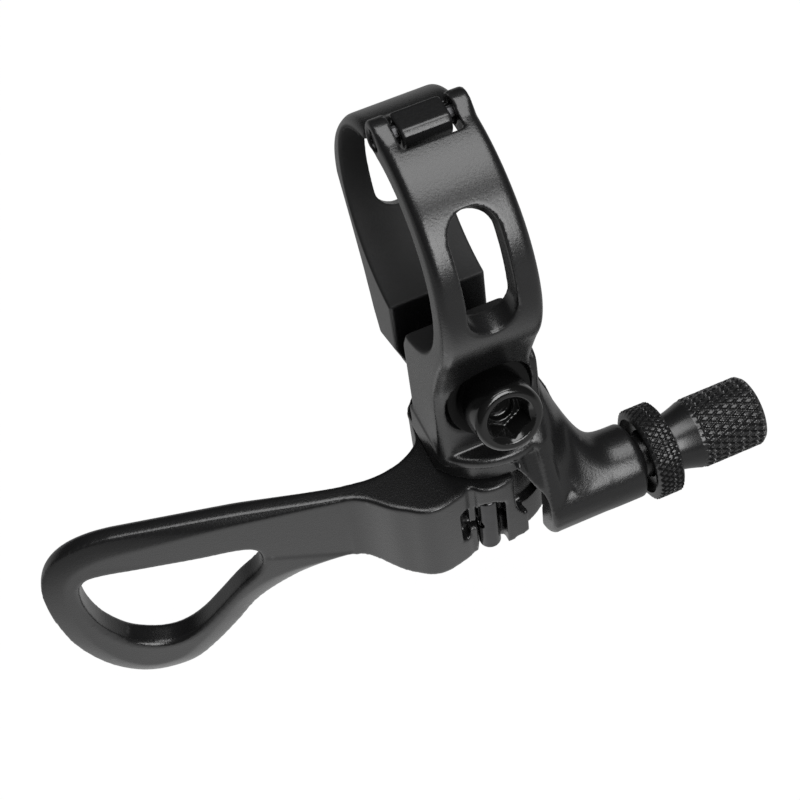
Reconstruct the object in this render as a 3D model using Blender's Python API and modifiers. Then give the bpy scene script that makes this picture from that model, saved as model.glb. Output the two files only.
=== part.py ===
"""Dropper post remote lever for a 22.2 mm handlebar, modelled in metres with +Z up.

The origin is on the handlebar's axis, in the middle of the clamp band. +X runs along the bar
towards the cable adjuster, +Y points forward, away from the rider, and the thumb lever turns on an
axis parallel to +Z. A cast and machined body holds the hinged clamp strap, the lever's pivot and the
cable's tube. The lever turns on two small ball bearings.
"""

import math

import bmesh
import bpy
from mathutils import Matrix, Vector

# Clamp band
BAR_DIAMETER = 0.0222
BAND_WIDTH = 0.0106
BAND_WALL = 0.0027
BAND_EDGE_BEVEL = 0.0009
BORE_EDGE_BEVEL = 0.0003
FRONT_SLOT_WIDTH = 0.0049
FRONT_SLOT_START = math.radians(131.0)
FRONT_SLOT_END = math.radians(187.0)
STRAP_WINDOW_WIDTH = 0.0044
STRAP_WINDOW_START = math.radians(-33.0)
STRAP_WINDOW_END = math.radians(38.0)

# Hinge of the strap
HINGE_ANGLE = math.radians(89.0)
KNUCKLE_RADIUS = 0.0019
HINGE_PIN_DIAMETER = 0.0018
HINGE_TONGUE_WIDTH = 0.0049
STRAP_SHOULDER_WIDTH = 0.0094
STRAP_TOP_WALL = 0.0011

# Clamp bolt, tilted towards the rider
BOLT_TILT = math.radians(22.0)
BOLT_OFFSET = 0.0006
BOLT_WALL = 0.0051
BOLT_DIAMETER = 0.0050
BOLT_HEAD_DIAMETER = 0.0071
BOLT_HEAD_HEIGHT = 0.0056
BOLT_SOCKET_WIDTH = 0.0040
BOLT_SOCKET_DEPTH = 0.0030
WASHER_DIAMETER = 0.0090
WASHER_THICKNESS = 0.0013
SEAT_STEP = 0.0017
SPLIT_GAP = 0.0024
LUG_THICKNESS = 0.0044
TONGUE_RADIUS = 0.0045
STRAP_OPENING = math.radians(4.0)

# Body below the band
BLOCK_DEPTH = 0.0081
PIVOT_X = 0.0014
PIVOT_Y = -0.0036
BOSS_RADIUS = 0.0078
COLLAR_RADIUS = 0.0084
COLLAR_RISE = 0.0040
COLLAR_THICKNESS = 0.0013
REAR_PLATE_THICKNESS = 0.0010
PIVOT_THREAD_LENGTH = 0.00535
PIVOT_THREAD_DIAMETER = 0.0040
PIVOT_TIP_WALL = 0.0006

# Cable tube and adjuster
CABLE_ARM = 0.0074
CABLE_DEPTH = 0.0069
TUBE_RADIUS = 0.00425
TUBE_START = 0.0038
TUBE_END = 0.0156
TUBE_EDGE_BEVEL = 0.0004
CABLE_BORE_RADIUS = 0.0010
THREAD_BORE_DEPTH = 0.0070
THREAD_RADIUS = 0.0026
LOCK_RING_RADIUS = 0.0052
LOCK_RING_WIDTH = 0.0032
ADJUSTER_GAP = 0.0002
ADJUSTER_NECK_RADIUS = 0.0032
ADJUSTER_NECK_LENGTH = 0.0044
ADJUSTER_RADIUS = 0.0040
ADJUSTER_GRIP_LENGTH = 0.0061
HOUSING_SOCKET_RADIUS = 0.0026
HOUSING_SOCKET_DEPTH = 0.0050
KNURL_DEPTH = 0.00022

# Bearings, a common 5 x 11 x 4 mm size
BEARING_BORE_RADIUS = 0.0025
BEARING_RADIUS = 0.0055
BEARING_WIDTH = 0.0040
BALL_RADIUS = 0.00080
BALL_COUNT = 7
RACE_CLEARANCE = 0.00015
RACE_SHOULDER = 0.00065
CAGE_WIDTH = 0.0026
BEARING_SPACER_LENGTH = 0.0014

# Thumb lever
HUB_RADIUS = 0.00825
HUB_LIP_RADIUS = 0.0085
HUB_LIP_HEIGHT = 0.0012
COVER_THICKNESS = 0.0016
PIVOT_HEAD_RADIUS = 0.0042
PIVOT_HEAD_HEIGHT = 0.0020
PIVOT_SOCKET_WIDTH = 0.0030
PIVOT_SOCKET_DEPTH = 0.0016
LEVER_EDGE_BEVEL = 0.00035
ARM_THICKNESS = 0.0020
PADDLE_THICKNESS = 0.0030
PADDLE_LENGTH = 0.0337
PADDLE_HEIGHT = 0.0281
PADDLE_BEVEL_WIDTH = 0.0024
PADDLE_BEVEL_DEPTH = 0.0008
PADDLE_REAR_BEVEL = 0.0013
ARM_ANGLE = math.radians(-13.9)
ARM_ROOT = (-0.0160, -0.0063)
HUB_NOTCH_START = 0.0017
HUB_NOTCH_DEPTH = 0.0080

# Cable anchor in the lever
ANCHOR_X = -0.0015
ANCHOR_RADIUS = 0.00135
ANCHOR_LENGTH = 0.0084
ANCHOR_SCREW_RADIUS = 0.00085
ANCHOR_SCREW_LENGTH = 0.0032
CABLE_HOLE_RADIUS = 0.00065
WINDOW_RADIUS = 0.0017
WINDOW_DROP = 0.0026
TAIL_SLOT_X = -0.0042
TAIL_SLOT_WIDTH = 0.0010
TAIL_SLOT_TOP = 0.0033
TAIL_SLOT_LENGTH = 0.0054

# Running gap between neighbouring pieces, and the closer fit of pins and threads
GAP = 0.0003
FIT = 0.00015

# Facets round a full turn
FINE = 48
MEDIUM = 32
ROUND = 24
SMALL = 20

bar_radius = BAR_DIAMETER / 2
band_radius = bar_radius + BAND_WALL
half_band = BAND_WIDTH / 2
hinge_radius = bar_radius + BAND_WALL * 0.55
hinge_y = hinge_radius * math.cos(HINGE_ANGLE)
hinge_z = hinge_radius * math.sin(HINGE_ANGLE)
bolt_hole_radius = BOLT_DIAMETER / 2 + GAP
bolt_drop = bar_radius + BOLT_WALL + bolt_hole_radius
tilt_cos = math.cos(BOLT_TILT)
tilt_sin = math.sin(BOLT_TILT)

# Where the hinge's round knuckle meets the bore, seen from the hinge and from the bar
knuckle_turn = math.acos(
    (bar_radius**2 - hinge_radius**2 - KNUCKLE_RADIUS**2) / (2 * hinge_radius * KNUCKLE_RADIUS)
)
knuckle_reach = math.asin(KNUCKLE_RADIUS * math.sin(knuckle_turn) / bar_radius)


def tilted(across, up):
    """Y and Z of a point given along and above the tilted bolt's direction."""
    return (across * tilt_cos + up * tilt_sin, up * tilt_cos - across * tilt_sin)


def bolt_z_at(y):
    """Height of the bolt's axis where it crosses a given Y."""
    along = (y + bolt_drop * tilt_sin) / tilt_cos
    return -bolt_drop * tilt_cos - along * tilt_sin


rear_face_y = -SPLIT_GAP / 2
front_face_y = rear_face_y - BLOCK_DEPTH
pivot_tip_z = bolt_z_at(PIVOT_Y) - bolt_hole_radius / tilt_cos - PIVOT_TIP_WALL
boss_bottom_z = pivot_tip_z - PIVOT_THREAD_LENGTH
collar_top_z = boss_bottom_z + COLLAR_RISE
lever_top_z = boss_bottom_z - GAP
tube_y = PIVOT_Y - CABLE_ARM
tube_z = lever_top_z - CABLE_DEPTH
ball_circle_radius = (BEARING_BORE_RADIUS + BEARING_RADIUS) / 2
inner_race_radius = ball_circle_radius - RACE_SHOULDER
outer_race_radius = ball_circle_radius + RACE_SHOULDER
bearing_seat_radius = BEARING_RADIUS + FIT
spigot_bottom_z = lever_top_z - GAP
upper_bearing_top_z = spigot_bottom_z - GAP
spacer_top_z = upper_bearing_top_z - BEARING_WIDTH - GAP
spacer_bottom_z = spacer_top_z - BEARING_SPACER_LENGTH
lower_bearing_top_z = spacer_bottom_z - GAP
lower_bearing_bottom_z = lower_bearing_top_z - BEARING_WIDTH
cover_top_z = lower_bearing_bottom_z - GAP
cover_bottom_z = cover_top_z - COVER_THICKNESS
lever_bottom_z = cover_bottom_z
hub_clearance_radius = HUB_LIP_RADIUS + GAP
anchor_y = tube_y + FIT
anchor_top_z = lever_top_z - WINDOW_DROP - FIT


def clear_scene():
    for item in list(bpy.data.objects):
        bpy.data.objects.remove(item, do_unlink=True)


def new_collection(name):
    group = bpy.data.collections.new(name)
    bpy.context.scene.collection.children.link(group)
    return group


def make_material(name, colour, roughness, metallic):
    material = bpy.data.materials.new(name)
    material.use_nodes = True
    shader = material.node_tree.nodes["Principled BSDF"]
    shader.inputs["Base Color"].default_value = (*colour, 1.0)
    shader.inputs["Roughness"].default_value = roughness
    shader.inputs["Metallic"].default_value = metallic
    return material


clear_scene()
parts = new_collection("dropper_post_remote_lever")
cutters = new_collection("cutters")


def add_object(name, mesh, group):
    item = bpy.data.objects.new(name, mesh)
    group.objects.link(item)
    if group is cutters:
        item.hide_render = True
        item.display_type = "WIRE"
    return item


def add_part(name, mesh, colour, roughness=0.4, metallic=0.9):
    item = add_object(name, mesh, parts)
    mesh.materials.clear()
    mesh.materials.append(make_material(name, colour, roughness, metallic))
    return item


def boolean(item, other, operation):
    step = item.modifiers.new(operation.lower() + "_" + other.name, "BOOLEAN")
    step.operation = operation
    step.solver = "EXACT"
    step.object = other


def cut(item, *tools):
    for tool in tools:
        boolean(item, tool, "DIFFERENCE")


def join(item, *tools):
    for tool in tools:
        boolean(item, tool, "UNION")


def finish_mesh(bm, name):
    bmesh.ops.recalc_face_normals(bm, faces=bm.faces)
    mesh = bpy.data.meshes.new(name)
    bm.to_mesh(mesh)
    bm.free()
    mesh.shade_smooth()
    mesh.set_sharp_from_angle(angle=math.radians(35))
    return mesh


def loft(name, rings):
    """Closed mesh through rings that have the same number of points each."""
    bm = bmesh.new()
    count = len(rings[0])
    loops = [[bm.verts.new(point) for point in ring] for ring in rings]
    for lower, upper in zip(loops, loops[1:]):
        for i in range(count):
            j = (i + 1) % count
            bm.faces.new((lower[i], lower[j], upper[j], upper[i]))
    caps = [bm.faces.new(list(reversed(loops[0]))), bm.faces.new(loops[-1])]
    bm.normal_update()
    bmesh.ops.triangulate(bm, faces=caps)
    return finish_mesh(bm, name)


def arc(centre, radius, start, end, count):
    """Points along an arc in a plane, both ends included."""
    return [
        (
            centre[0] + radius * math.cos(start + (end - start) * i / count),
            centre[1] + radius * math.sin(start + (end - start) * i / count),
        )
        for i in range(count + 1)
    ]


def inset(outline, amounts):
    """A counterclockwise outline moved inwards by an amount at each point."""
    moved = []
    count = len(outline)
    for i, point in enumerate(outline):
        before = Vector(outline[i - 1])
        here = Vector(point)
        after = Vector(outline[(i + 1) % count])
        first = (here - before).normalized()
        second = (after - here).normalized()
        normal_1 = Vector((-first.y, first.x))
        normal_2 = Vector((-second.y, second.x))
        reach = max(0.35, 1 + normal_1.dot(normal_2))
        shift = (normal_1 + normal_2) / reach * amounts[i]
        moved.append((here.x + shift.x, here.y + shift.y))
    return moved


def smooth_through(points, steps):
    """Points of a Catmull-Rom curve through given points, ends included."""
    curve = []
    padded = [points[0], *points, points[-1]]
    for k in range(1, len(padded) - 2):
        before, start, end, after = (Vector(padded[k + d]) for d in (-1, 0, 1, 2))
        for i in range(steps):
            t = i / steps
            value = (
                start * 2
                + (end - before) * t
                + (before * 2 - start * 5 + end * 4 - after) * t * t
                + (start * 3 - before - end * 3 + after) * t * t * t
            ) * 0.5
            curve.append((value.x, value.y))
    curve.append(tuple(points[-1]))
    return curve


def along_x(outline, x):
    return [(x, y, z) for y, z in outline]


def along_z(outline, z):
    return [(x, y, z) for x, y in outline]


def plate_x(name, outline, half_width, bevels):
    """An outline in Y and Z, widened along X both ways, with bevelled side edges.

    The half width is a length, or a function of Y and Z.
    """
    inner = inset(outline, bevels)
    rings = [[], [], [], []]
    for i, (y, z) in enumerate(outline):
        half = half_width(y, z) if callable(half_width) else half_width
        rings[0].append((-half, *inner[i]))
        rings[1].append((bevels[i] - half, y, z))
        rings[2].append((half - bevels[i], y, z))
        rings[3].append((half, *inner[i]))
    return loft(name, rings)


def cylinder(name, radius, start, end, sides, group=cutters):
    """A cylinder between two points."""
    start = Vector(start)
    end = Vector(end)
    axis = end - start
    bm = bmesh.new()
    bmesh.ops.create_cone(
        bm, cap_ends=True, segments=sides, radius1=radius, radius2=radius, depth=axis.length
    )
    turn = axis.to_track_quat("Z", "Y").to_matrix().to_4x4()
    bmesh.ops.transform(bm, matrix=Matrix.Translation((start + end) / 2) @ turn, verts=bm.verts)
    return add_object(name, finish_mesh(bm, name), group)


def box(name, low, high):
    bm = bmesh.new()
    bmesh.ops.create_cube(bm, size=1.0)
    low = Vector(low)
    high = Vector(high)
    for vert in bm.verts:
        vert.co = Vector(low[i] + (vert.co[i] + 0.5) * (high[i] - low[i]) for i in range(3))
    return add_object(name, finish_mesh(bm, name), cutters)


def turned(name, profile, origin, sides, along="Z"):
    """A solid turned about Z or X, from pairs of radius and height that go round its section."""
    mesh = bpy.data.meshes.new(name)
    count = len(profile)
    on_axis = profile[0][0] == 0.0 and profile[-1][0] == 0.0
    edges = [(i, i + 1) for i in range(count - 1)]
    if not on_axis:
        edges.append((count - 1, 0))
    mesh.from_pydata([(radius, 0.0, height) for radius, height in profile], edges, [])
    item = add_object(name, mesh, cutters)
    screw = item.modifiers.new("turn", "SCREW")
    screw.steps = sides
    screw.render_steps = sides
    screw.use_merge_vertices = True
    screw.merge_threshold = 0.000001
    screw.use_smooth_shade = False
    turned_mesh = evaluated_mesh(item, name)
    bpy.data.objects.remove(item, do_unlink=True)
    turn = Matrix.Rotation(math.pi / 2, 4, "Y") if along == "X" else Matrix.Identity(4)
    turned_mesh.transform(Matrix.Translation(Vector(origin)) @ turn)
    turned_mesh.shade_smooth()
    turned_mesh.set_sharp_from_angle(angle=math.radians(35))
    return turned_mesh


def evaluated_mesh(item, name):
    bpy.context.view_layer.update()
    graph = bpy.context.evaluated_depsgraph_get()
    mesh = bpy.data.meshes.new_from_object(item.evaluated_get(graph))
    bm = bmesh.new()
    bm.from_mesh(mesh)
    bmesh.ops.remove_doubles(bm, verts=bm.verts, dist=0.000001)
    bmesh.ops.recalc_face_normals(bm, faces=bm.faces)
    bm.to_mesh(mesh)
    bm.free()
    mesh.name = name
    return mesh


def hexagon(name, width, start, end):
    """A six-sided recess with a given width across flats, between two points."""
    return cylinder(name, width / math.sqrt(3), start, end, 6)


BLACK = (0.018, 0.018, 0.019)
DARK_STEEL = (0.045, 0.045, 0.048)
STEEL = (0.42, 0.42, 0.43)
BRIGHT_STEEL = (0.62, 0.62, 0.64)
BRASS = (0.55, 0.40, 0.17)
NYLON = (0.30, 0.24, 0.14)


def ring_slot(name, x_width, start, end):
    """A round-ended slot through the band, as a wedge between two angles."""
    radius_low = bar_radius - 0.002
    radius_high = band_radius + 0.002
    mid_radius = (radius_low + radius_high) / 2
    half_angle = (end - start) / 2
    middle = (start + end) / 2
    half_length = mid_radius * half_angle
    half_width = x_width / 2
    right = arc((half_length - half_width, 0), half_width, -math.pi / 2, math.pi / 2, 10)
    left = arc((-half_length + half_width, 0), half_width, math.pi / 2, math.pi * 1.5, 10)
    straight = [((half_length - half_width) * (1 - k / 4), half_width) for k in range(1, 8)]
    back = [((-half_length + half_width) * (1 - k / 4), -half_width) for k in range(1, 8)]
    outline = right + straight + left + back
    rings = []
    for radius in (radius_low, radius_high):
        ring = []
        for length, x in outline:
            angle = middle + length / mid_radius
            ring.append((x, radius * math.cos(angle), radius * math.sin(angle)))
        rings.append(ring)
    return add_object(name, loft(name, rings), cutters)


def make_body():
    """Machined body: band arch, bolt block, pivot boss and cable tube in one piece."""
    bore_end = math.radians(-105.0)
    neck_z = bar_radius * math.sin(bore_end) - BAND_WALL
    shoulder = math.radians(-155.0)
    shoulder_point = (band_radius * math.cos(shoulder), band_radius * math.sin(shoulder))
    low_z = boss_bottom_z + COLLAR_RISE / 2
    nose_start = math.radians(118.0)
    nose_end = HINGE_ANGLE - knuckle_turn
    nose = arc((hinge_y, hinge_z), KNUCKLE_RADIUS, nose_start, nose_end, 9)[:-1]
    bore = arc((0, 0), bar_radius, HINGE_ANGLE - knuckle_reach, bore_end + 2 * math.pi, 28)
    feet = [
        (rear_face_y, neck_z),
        (rear_face_y, low_z),
        (front_face_y, low_z),
        (front_face_y, neck_z - 0.0022),
    ]
    bulge = (front_face_y - 0.0004, neck_z + 0.0006)
    lean = (shoulder_point[0] + 0.0012, shoulder_point[1] - 0.0026)
    blend = smooth_through([feet[3], bulge, lean, shoulder_point], 4)[1:-1]
    outer = arc((0, 0), band_radius, shoulder + 2 * math.pi, HINGE_ANGLE + math.radians(9.0), 18)
    outline = list(reversed(nose + bore + feet + blend + outer))
    bevels = []
    for y, z in outline:
        on_bore = abs(math.hypot(y, z) - bar_radius) < FIT
        at_hinge = math.hypot(y - hinge_y, z - hinge_z) < KNUCKLE_RADIUS + FIT
        bevels.append(BORE_EDGE_BEVEL if on_bore or at_hinge else BAND_EDGE_BEVEL)
    mesh = plate_x("clamp_body", outline, body_half_width, bevels)
    body = add_part("clamp_body", mesh, BLACK, 0.42)
    join(body, make_boss(), make_tube(), make_gusset())
    tongue_room = HINGE_TONGUE_WIDTH / 2 + GAP
    notch_y = hinge_y - KNUCKLE_RADIUS - 3 * GAP
    cut(
        body,
        ring_slot("front_slot", FRONT_SLOT_WIDTH, FRONT_SLOT_START, FRONT_SLOT_END),
        box(
            "hinge_notch",
            (-tongue_room, notch_y, bar_radius - 0.003),
            (tongue_room, hinge_y + 0.006, band_radius + 0.004),
        ),
        box(
            "strap_room",
            (-0.02, rear_face_y, boss_bottom_z + REAR_PLATE_THICKNESS),
            (0.02, 0.02, neck_z),
        ),
        cylinder(
            "pin_hole",
            HINGE_PIN_DIAMETER / 2 + FIT,
            (-BAND_WIDTH, hinge_y, hinge_z),
            (BAND_WIDTH, hinge_y, hinge_z),
            SMALL,
        ),
        bolt_cylinder("bolt_pocket", WASHER_DIAMETER / 2 + GAP, seat_along - 0.014, seat_along, FINE),
        bolt_slot(),
        cylinder(
            "pivot_thread",
            PIVOT_THREAD_DIAMETER / 2 + FIT,
            (PIVOT_X, PIVOT_Y, spigot_bottom_z - 0.001),
            (PIVOT_X, PIVOT_Y, pivot_tip_z + FIT),
            SMALL,
        ),
        cylinder(
            "hub_room",
            hub_clearance_radius,
            (PIVOT_X, PIVOT_Y, boss_bottom_z),
            (PIVOT_X, PIVOT_Y, boss_bottom_z - 0.02),
            FINE,
        ),
        cylinder("cable_bore", CABLE_BORE_RADIUS, (0, tube_y, tube_z), (TUBE_END, tube_y, tube_z), SMALL),
        cylinder(
            "thread_bore",
            THREAD_RADIUS + FIT,
            (TUBE_END - THREAD_BORE_DEPTH, tube_y, tube_z),
            (TUBE_END + 0.002, tube_y, tube_z),
            MEDIUM,
        ),
    )
    spigot = turned(
        "spigot",
        [
            (inner_race_radius, boss_bottom_z + GAP),
            (inner_race_radius, spigot_bottom_z),
            (PIVOT_THREAD_DIAMETER / 2 + FIT, spigot_bottom_z),
            (PIVOT_THREAD_DIAMETER / 2 + FIT, boss_bottom_z + GAP),
        ],
        (PIVOT_X, PIVOT_Y, 0),
        MEDIUM,
    )
    join(body, add_object("spigot", spigot, cutters))


def body_half_width(y, z):
    """Half the band's width, narrower towards the hinge."""
    share = min(1.0, max(0.0, (band_radius - z) / (band_radius * 1.6)))
    return STRAP_SHOULDER_WIDTH / 2 + (half_band - STRAP_SHOULDER_WIDTH / 2) * share


def bolt_point(along, x=BOLT_OFFSET, rise=0.0):
    """A point on the clamp bolt's axis, measured from below the bar's axis."""
    y, z = tilted(along, rise - bolt_drop)
    return (x, y, z)


def bolt_cylinder(name, radius, start, end, sides, group=cutters):
    return cylinder(name, radius, bolt_point(start), bolt_point(end), sides, group)


# Places along the bolt: its seat in the body, the gap, and the strap's outer face
seat_along = (front_face_y + bolt_drop * tilt_sin) / tilt_cos + SEAT_STEP
strap_face_along = (-rear_face_y + bolt_drop * tilt_sin) / tilt_cos
lug_along = strap_face_along + LUG_THICKNESS
washer_along = seat_along - FIT - WASHER_THICKNESS
head_along = washer_along - FIT


def stadium(half_width, low, high, count=8):
    """A counterclockwise outline with round ends, standing upright."""
    top = arc((0, high - half_width), half_width, 0, math.pi, count)
    bottom = arc((0, low + half_width), half_width, math.pi, 2 * math.pi, count)
    return top + bottom


def bolt_slot():
    """Clearance hole for the bolt, longer towards the bar so that the strap can swing."""
    reach = strap_face_along - tilted_back(hinge_y, hinge_z)[0]
    rise = reach * math.tan(STRAP_OPENING)
    outline = stadium(bolt_hole_radius, -bolt_hole_radius, bolt_hole_radius + rise)
    rings = [
        [bolt_point(along, BOLT_OFFSET - x, up) for x, up in outline]
        for along in (seat_along - 0.001, strap_face_along + 0.001)
    ]
    return add_object("bolt_slot", loft("bolt_slot", rings), cutters)


def tilted_back(y, z):
    """Along and above the tilted bolt's direction, of a point given by Y and Z."""
    return (y * tilt_cos - z * tilt_sin, y * tilt_sin + z * tilt_cos)


def make_boss():
    """Round collar and boss above the lever's hub."""
    edge = LEVER_EDGE_BEVEL
    collar_low_z = collar_top_z - COLLAR_THICKNESS
    profile = [
        (0.0, collar_top_z),
        (COLLAR_RADIUS - edge, collar_top_z),
        (COLLAR_RADIUS, collar_top_z - edge),
        (COLLAR_RADIUS, collar_low_z),
        (BOSS_RADIUS, collar_low_z - edge),
        (BOSS_RADIUS, boss_bottom_z - edge),
        (0.0, boss_bottom_z - edge),
    ]
    mesh = turned("boss", profile, (PIVOT_X, PIVOT_Y, 0), FINE)
    boss = add_object("boss", mesh, cutters)
    trim_z = boss_bottom_z + COLLAR_RISE * 0.35
    cut(
        boss,
        box(
            "collar_left_trim",
            (PIVOT_X - 2 * COLLAR_RADIUS, -0.03, boss_bottom_z + REAR_PLATE_THICKNESS - GAP / 2),
            (-half_band - GAP, 0.01, collar_top_z + 0.001),
        ),
        box(
            "collar_right_trim",
            (half_band - BAND_EDGE_BEVEL, -0.03, trim_z),
            (PIVOT_X + 2 * COLLAR_RADIUS, 0.01, collar_top_z + 0.001),
        ),
    )
    return boss


def make_tube():
    """Start of the cable tube, below the gusset and beside the hub."""
    radius = TUBE_RADIUS - 0.00004
    edge = TUBE_EDGE_BEVEL
    end = TUBE_END - 0.0030
    profile = [(0.0, end), (radius, end), (radius, TUBE_START + edge), (radius - edge, TUBE_START)]
    mesh = turned("tube", [*profile, (0.0, TUBE_START)], (0, tube_y, tube_z), MEDIUM, along="X")
    return add_object("tube", mesh, cutters)


def superellipse(centre, half, power, count):
    """Points round a squared or round section."""
    ring = []
    for i in range(count):
        angle = 2 * math.pi * i / count
        c = math.cos(angle)
        s = math.sin(angle)
        ring.append(
            (
                centre[0] + half[0] * math.copysign(abs(c) ** (2 / power), c),
                centre[1] + half[1] * math.copysign(abs(s) ** (2 / power), s),
            )
        )
    return ring


def ease(value, low, high):
    """Smooth step from 0 at one place to 1 at another."""
    share = min(1.0, max(0.0, (value - low) / (high - low)))
    return share * share * (3 - 2 * share)


def make_gusset():
    """Loft from the square bolt block into the round tube, in front of the hub."""
    block_rise = 0.0138
    first = half_band - 0.0018
    last = TUBE_END - 0.0016
    reach = last - first
    side = half_band + 0.0004
    places = [first, side, side + 0.0003]
    places += [side + 0.0003 + (last - side - 0.0003) * (k + 1) / 9 for k in range(9)]
    front_y = front_face_y + GAP / 2
    back_y = rear_face_y - GAP / 2
    tube_front = tube_y - TUBE_RADIUS
    tube_back = tube_y + TUBE_RADIUS
    rings = []
    for x in places:
        fall = 0.0
        if x > side:
            fall = 1 - (1 - min(1.0, (x - first - 0.0014) / (reach - 0.0014))) ** 2.35
        top = (boss_bottom_z + block_rise) * (1 - fall) + (tube_z + TUBE_RADIUS) * fall
        sink = ease(x, first + 0.0004, first + 0.42 * reach)
        low = (boss_bottom_z + GAP) * (1 - sink) + (tube_z - TUBE_RADIUS) * sink
        upper = ease(x, half_band + 0.0003, half_band + 0.0072)
        lower = math.sin(math.pi / 2 * min(1.0, (x - first) / (reach * 0.5)))
        fronts = [front_y + (tube_front - front_y) * share for share in (upper, lower)]
        back = back_y + (tube_back - back_y) * ease(x, first + 0.0010, first + reach * 0.82)
        power = 6.0 - 4.0 * ease(x, first, first + reach * 0.75)
        ring = []
        for u, v in superellipse((0.0, 0.0), (1.0, 1.0), power, MEDIUM):
            front = fronts[0] + (fronts[1] - fronts[0]) * (1 - v) / 2
            y = (front + back) / 2 + u * (back - front) / 2
            ring.append((x, y, (top + low) / 2 + v * (top - low) / 2))
        rings.append(ring)
    for x, radius in ((TUBE_END - TUBE_EDGE_BEVEL, TUBE_RADIUS), (TUBE_END, TUBE_RADIUS - TUBE_EDGE_BEVEL)):
        section = superellipse((tube_y, tube_z), (radius, radius), 2.0, MEDIUM)
        rings.append(along_x(section, x))
    return add_object("gusset", loft("gusset", rings), cutters)


def make_strap():
    """Hinged half of the clamp, with a tongue at the hinge and a threaded lug at the bolt."""
    shoulder_y = hinge_y + KNUCKLE_RADIUS + GAP
    split_y = -rear_face_y
    start = math.acos(shoulder_y / (bar_radius + STRAP_TOP_WALL))
    bore_start = math.acos(shoulder_y / bar_radius)
    bore_end = -math.acos(split_y / bar_radius)
    leave = BOLT_TILT * -0.45
    outer = []
    for y, z in arc((0, 0), band_radius, start, leave, 14):
        share = min(1.0, max(0.0, (math.atan2(z, y) + math.radians(15.0)) / math.radians(55.0)))
        share = share * share * (3 - 2 * share)
        scale = (band_radius - (BAND_WALL - STRAP_TOP_WALL) * share) / band_radius
        outer.append((y * scale, z * scale))
    lug_low = -bolt_drop - TONGUE_RADIUS
    lug_top_out = tilted(band_radius * 0.93, -band_radius * 0.55)
    lug_mid_out = tilted(lug_along, -band_radius * 0.95)
    lug_low_out = tilted(lug_along, lug_low)
    blend = smooth_through([outer[-1], lug_top_out, lug_mid_out], 4)[1:]
    foot_z = (lug_low - split_y * tilt_sin) / tilt_cos
    inner = arc((0, 0), bar_radius, bore_end, bore_start, 22)
    outline = outer + blend + [lug_low_out, (split_y, foot_z)] + inner
    outline = list(reversed(outline))
    bevels = []
    for y, z in outline:
        on_bore = abs(math.hypot(y, z) - bar_radius) < FIT
        at_split = abs(y - split_y) < FIT
        bevels.append(BORE_EDGE_BEVEL if on_bore or at_split else BAND_EDGE_BEVEL)
    narrow = STRAP_SHOULDER_WIDTH / 2

    def half_width(y, z):
        share = min(1.0, max(0.0, (band_radius - z) / (2 * band_radius)))
        return narrow + (half_band - narrow) * share

    mesh = plate_x("clamp_strap", outline, half_width, bevels)
    strap = add_part("clamp_strap", mesh, BLACK, 0.42)
    join(strap, make_tongue(shoulder_y))
    cut(
        strap,
        ring_slot("strap_window", STRAP_WINDOW_WIDTH, STRAP_WINDOW_START, STRAP_WINDOW_END),
        bolt_cylinder("strap_thread", BOLT_DIAMETER / 2 + FIT, strap_face_along - 0.006, lug_along + 0.002, MEDIUM),
        cylinder(
            "tongue_hole",
            HINGE_PIN_DIAMETER / 2 + FIT,
            (-BAND_WIDTH, hinge_y, hinge_z),
            (BAND_WIDTH, hinge_y, hinge_z),
            SMALL,
        ),
        make_lug_trim(),
    )


def make_tongue(shoulder_y):
    """Strap's hinge tongue: flat on top, round below."""
    flat_z = hinge_z + KNUCKLE_RADIUS * 0.72
    back_y = hinge_y - KNUCKLE_RADIUS
    join_y = shoulder_y + BAND_WALL * 0.6
    join_radius = bar_radius + STRAP_TOP_WALL
    join_angle = math.acos(join_y / join_radius)
    turn_end = HINGE_ANGLE + knuckle_turn
    under = arc((hinge_y, hinge_z), KNUCKLE_RADIUS, math.radians(180.0), turn_end, 4)
    bore_radius = bar_radius + GAP / 3
    bore_join = math.acos(join_y / bore_radius)
    under += arc((0, 0), bore_radius, HINGE_ANGLE + knuckle_reach, bore_join, 4)[1:]
    outline = [
        (join_y, join_radius * math.sin(join_angle) - GAP),
        (hinge_y + KNUCKLE_RADIUS * 0.6, flat_z),
        (back_y + KNUCKLE_RADIUS * 0.25, flat_z),
        (back_y, flat_z - KNUCKLE_RADIUS * 0.25),
        *under,
    ]
    bevels = [BORE_EDGE_BEVEL] * len(outline)
    mesh = plate_x("tongue", outline, HINGE_TONGUE_WIDTH / 2, bevels)
    return add_object("tongue", mesh, cutters)


def make_lug_trim():
    """Cutter that rounds the lower end of the strap about the bolt."""
    side = half_band + 0.004
    corner = -bolt_drop + TONGUE_RADIUS * 0.75
    curve = arc((0, 0), TONGUE_RADIUS, math.radians(188.0), math.radians(352.0), 20)
    inner = [(x + BOLT_OFFSET, z - bolt_drop) for x, z in curve]
    outline = [(-side, corner), (-side, -bolt_drop - 0.012), (side, -bolt_drop - 0.012), (side, corner)]
    outline += [(half_band + 0.0001, corner), *reversed(inner), (-half_band - 0.0001, corner)]
    rings = []
    for along in (strap_face_along - 0.012, lug_along + 0.004):
        ring = []
        for x, up in reversed(outline):
            y, z = tilted(along, up)
            ring.append((x, y, z))
        rings.append(ring)
    return add_object("lug_trim", loft("lug_trim", rings), cutters)


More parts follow.
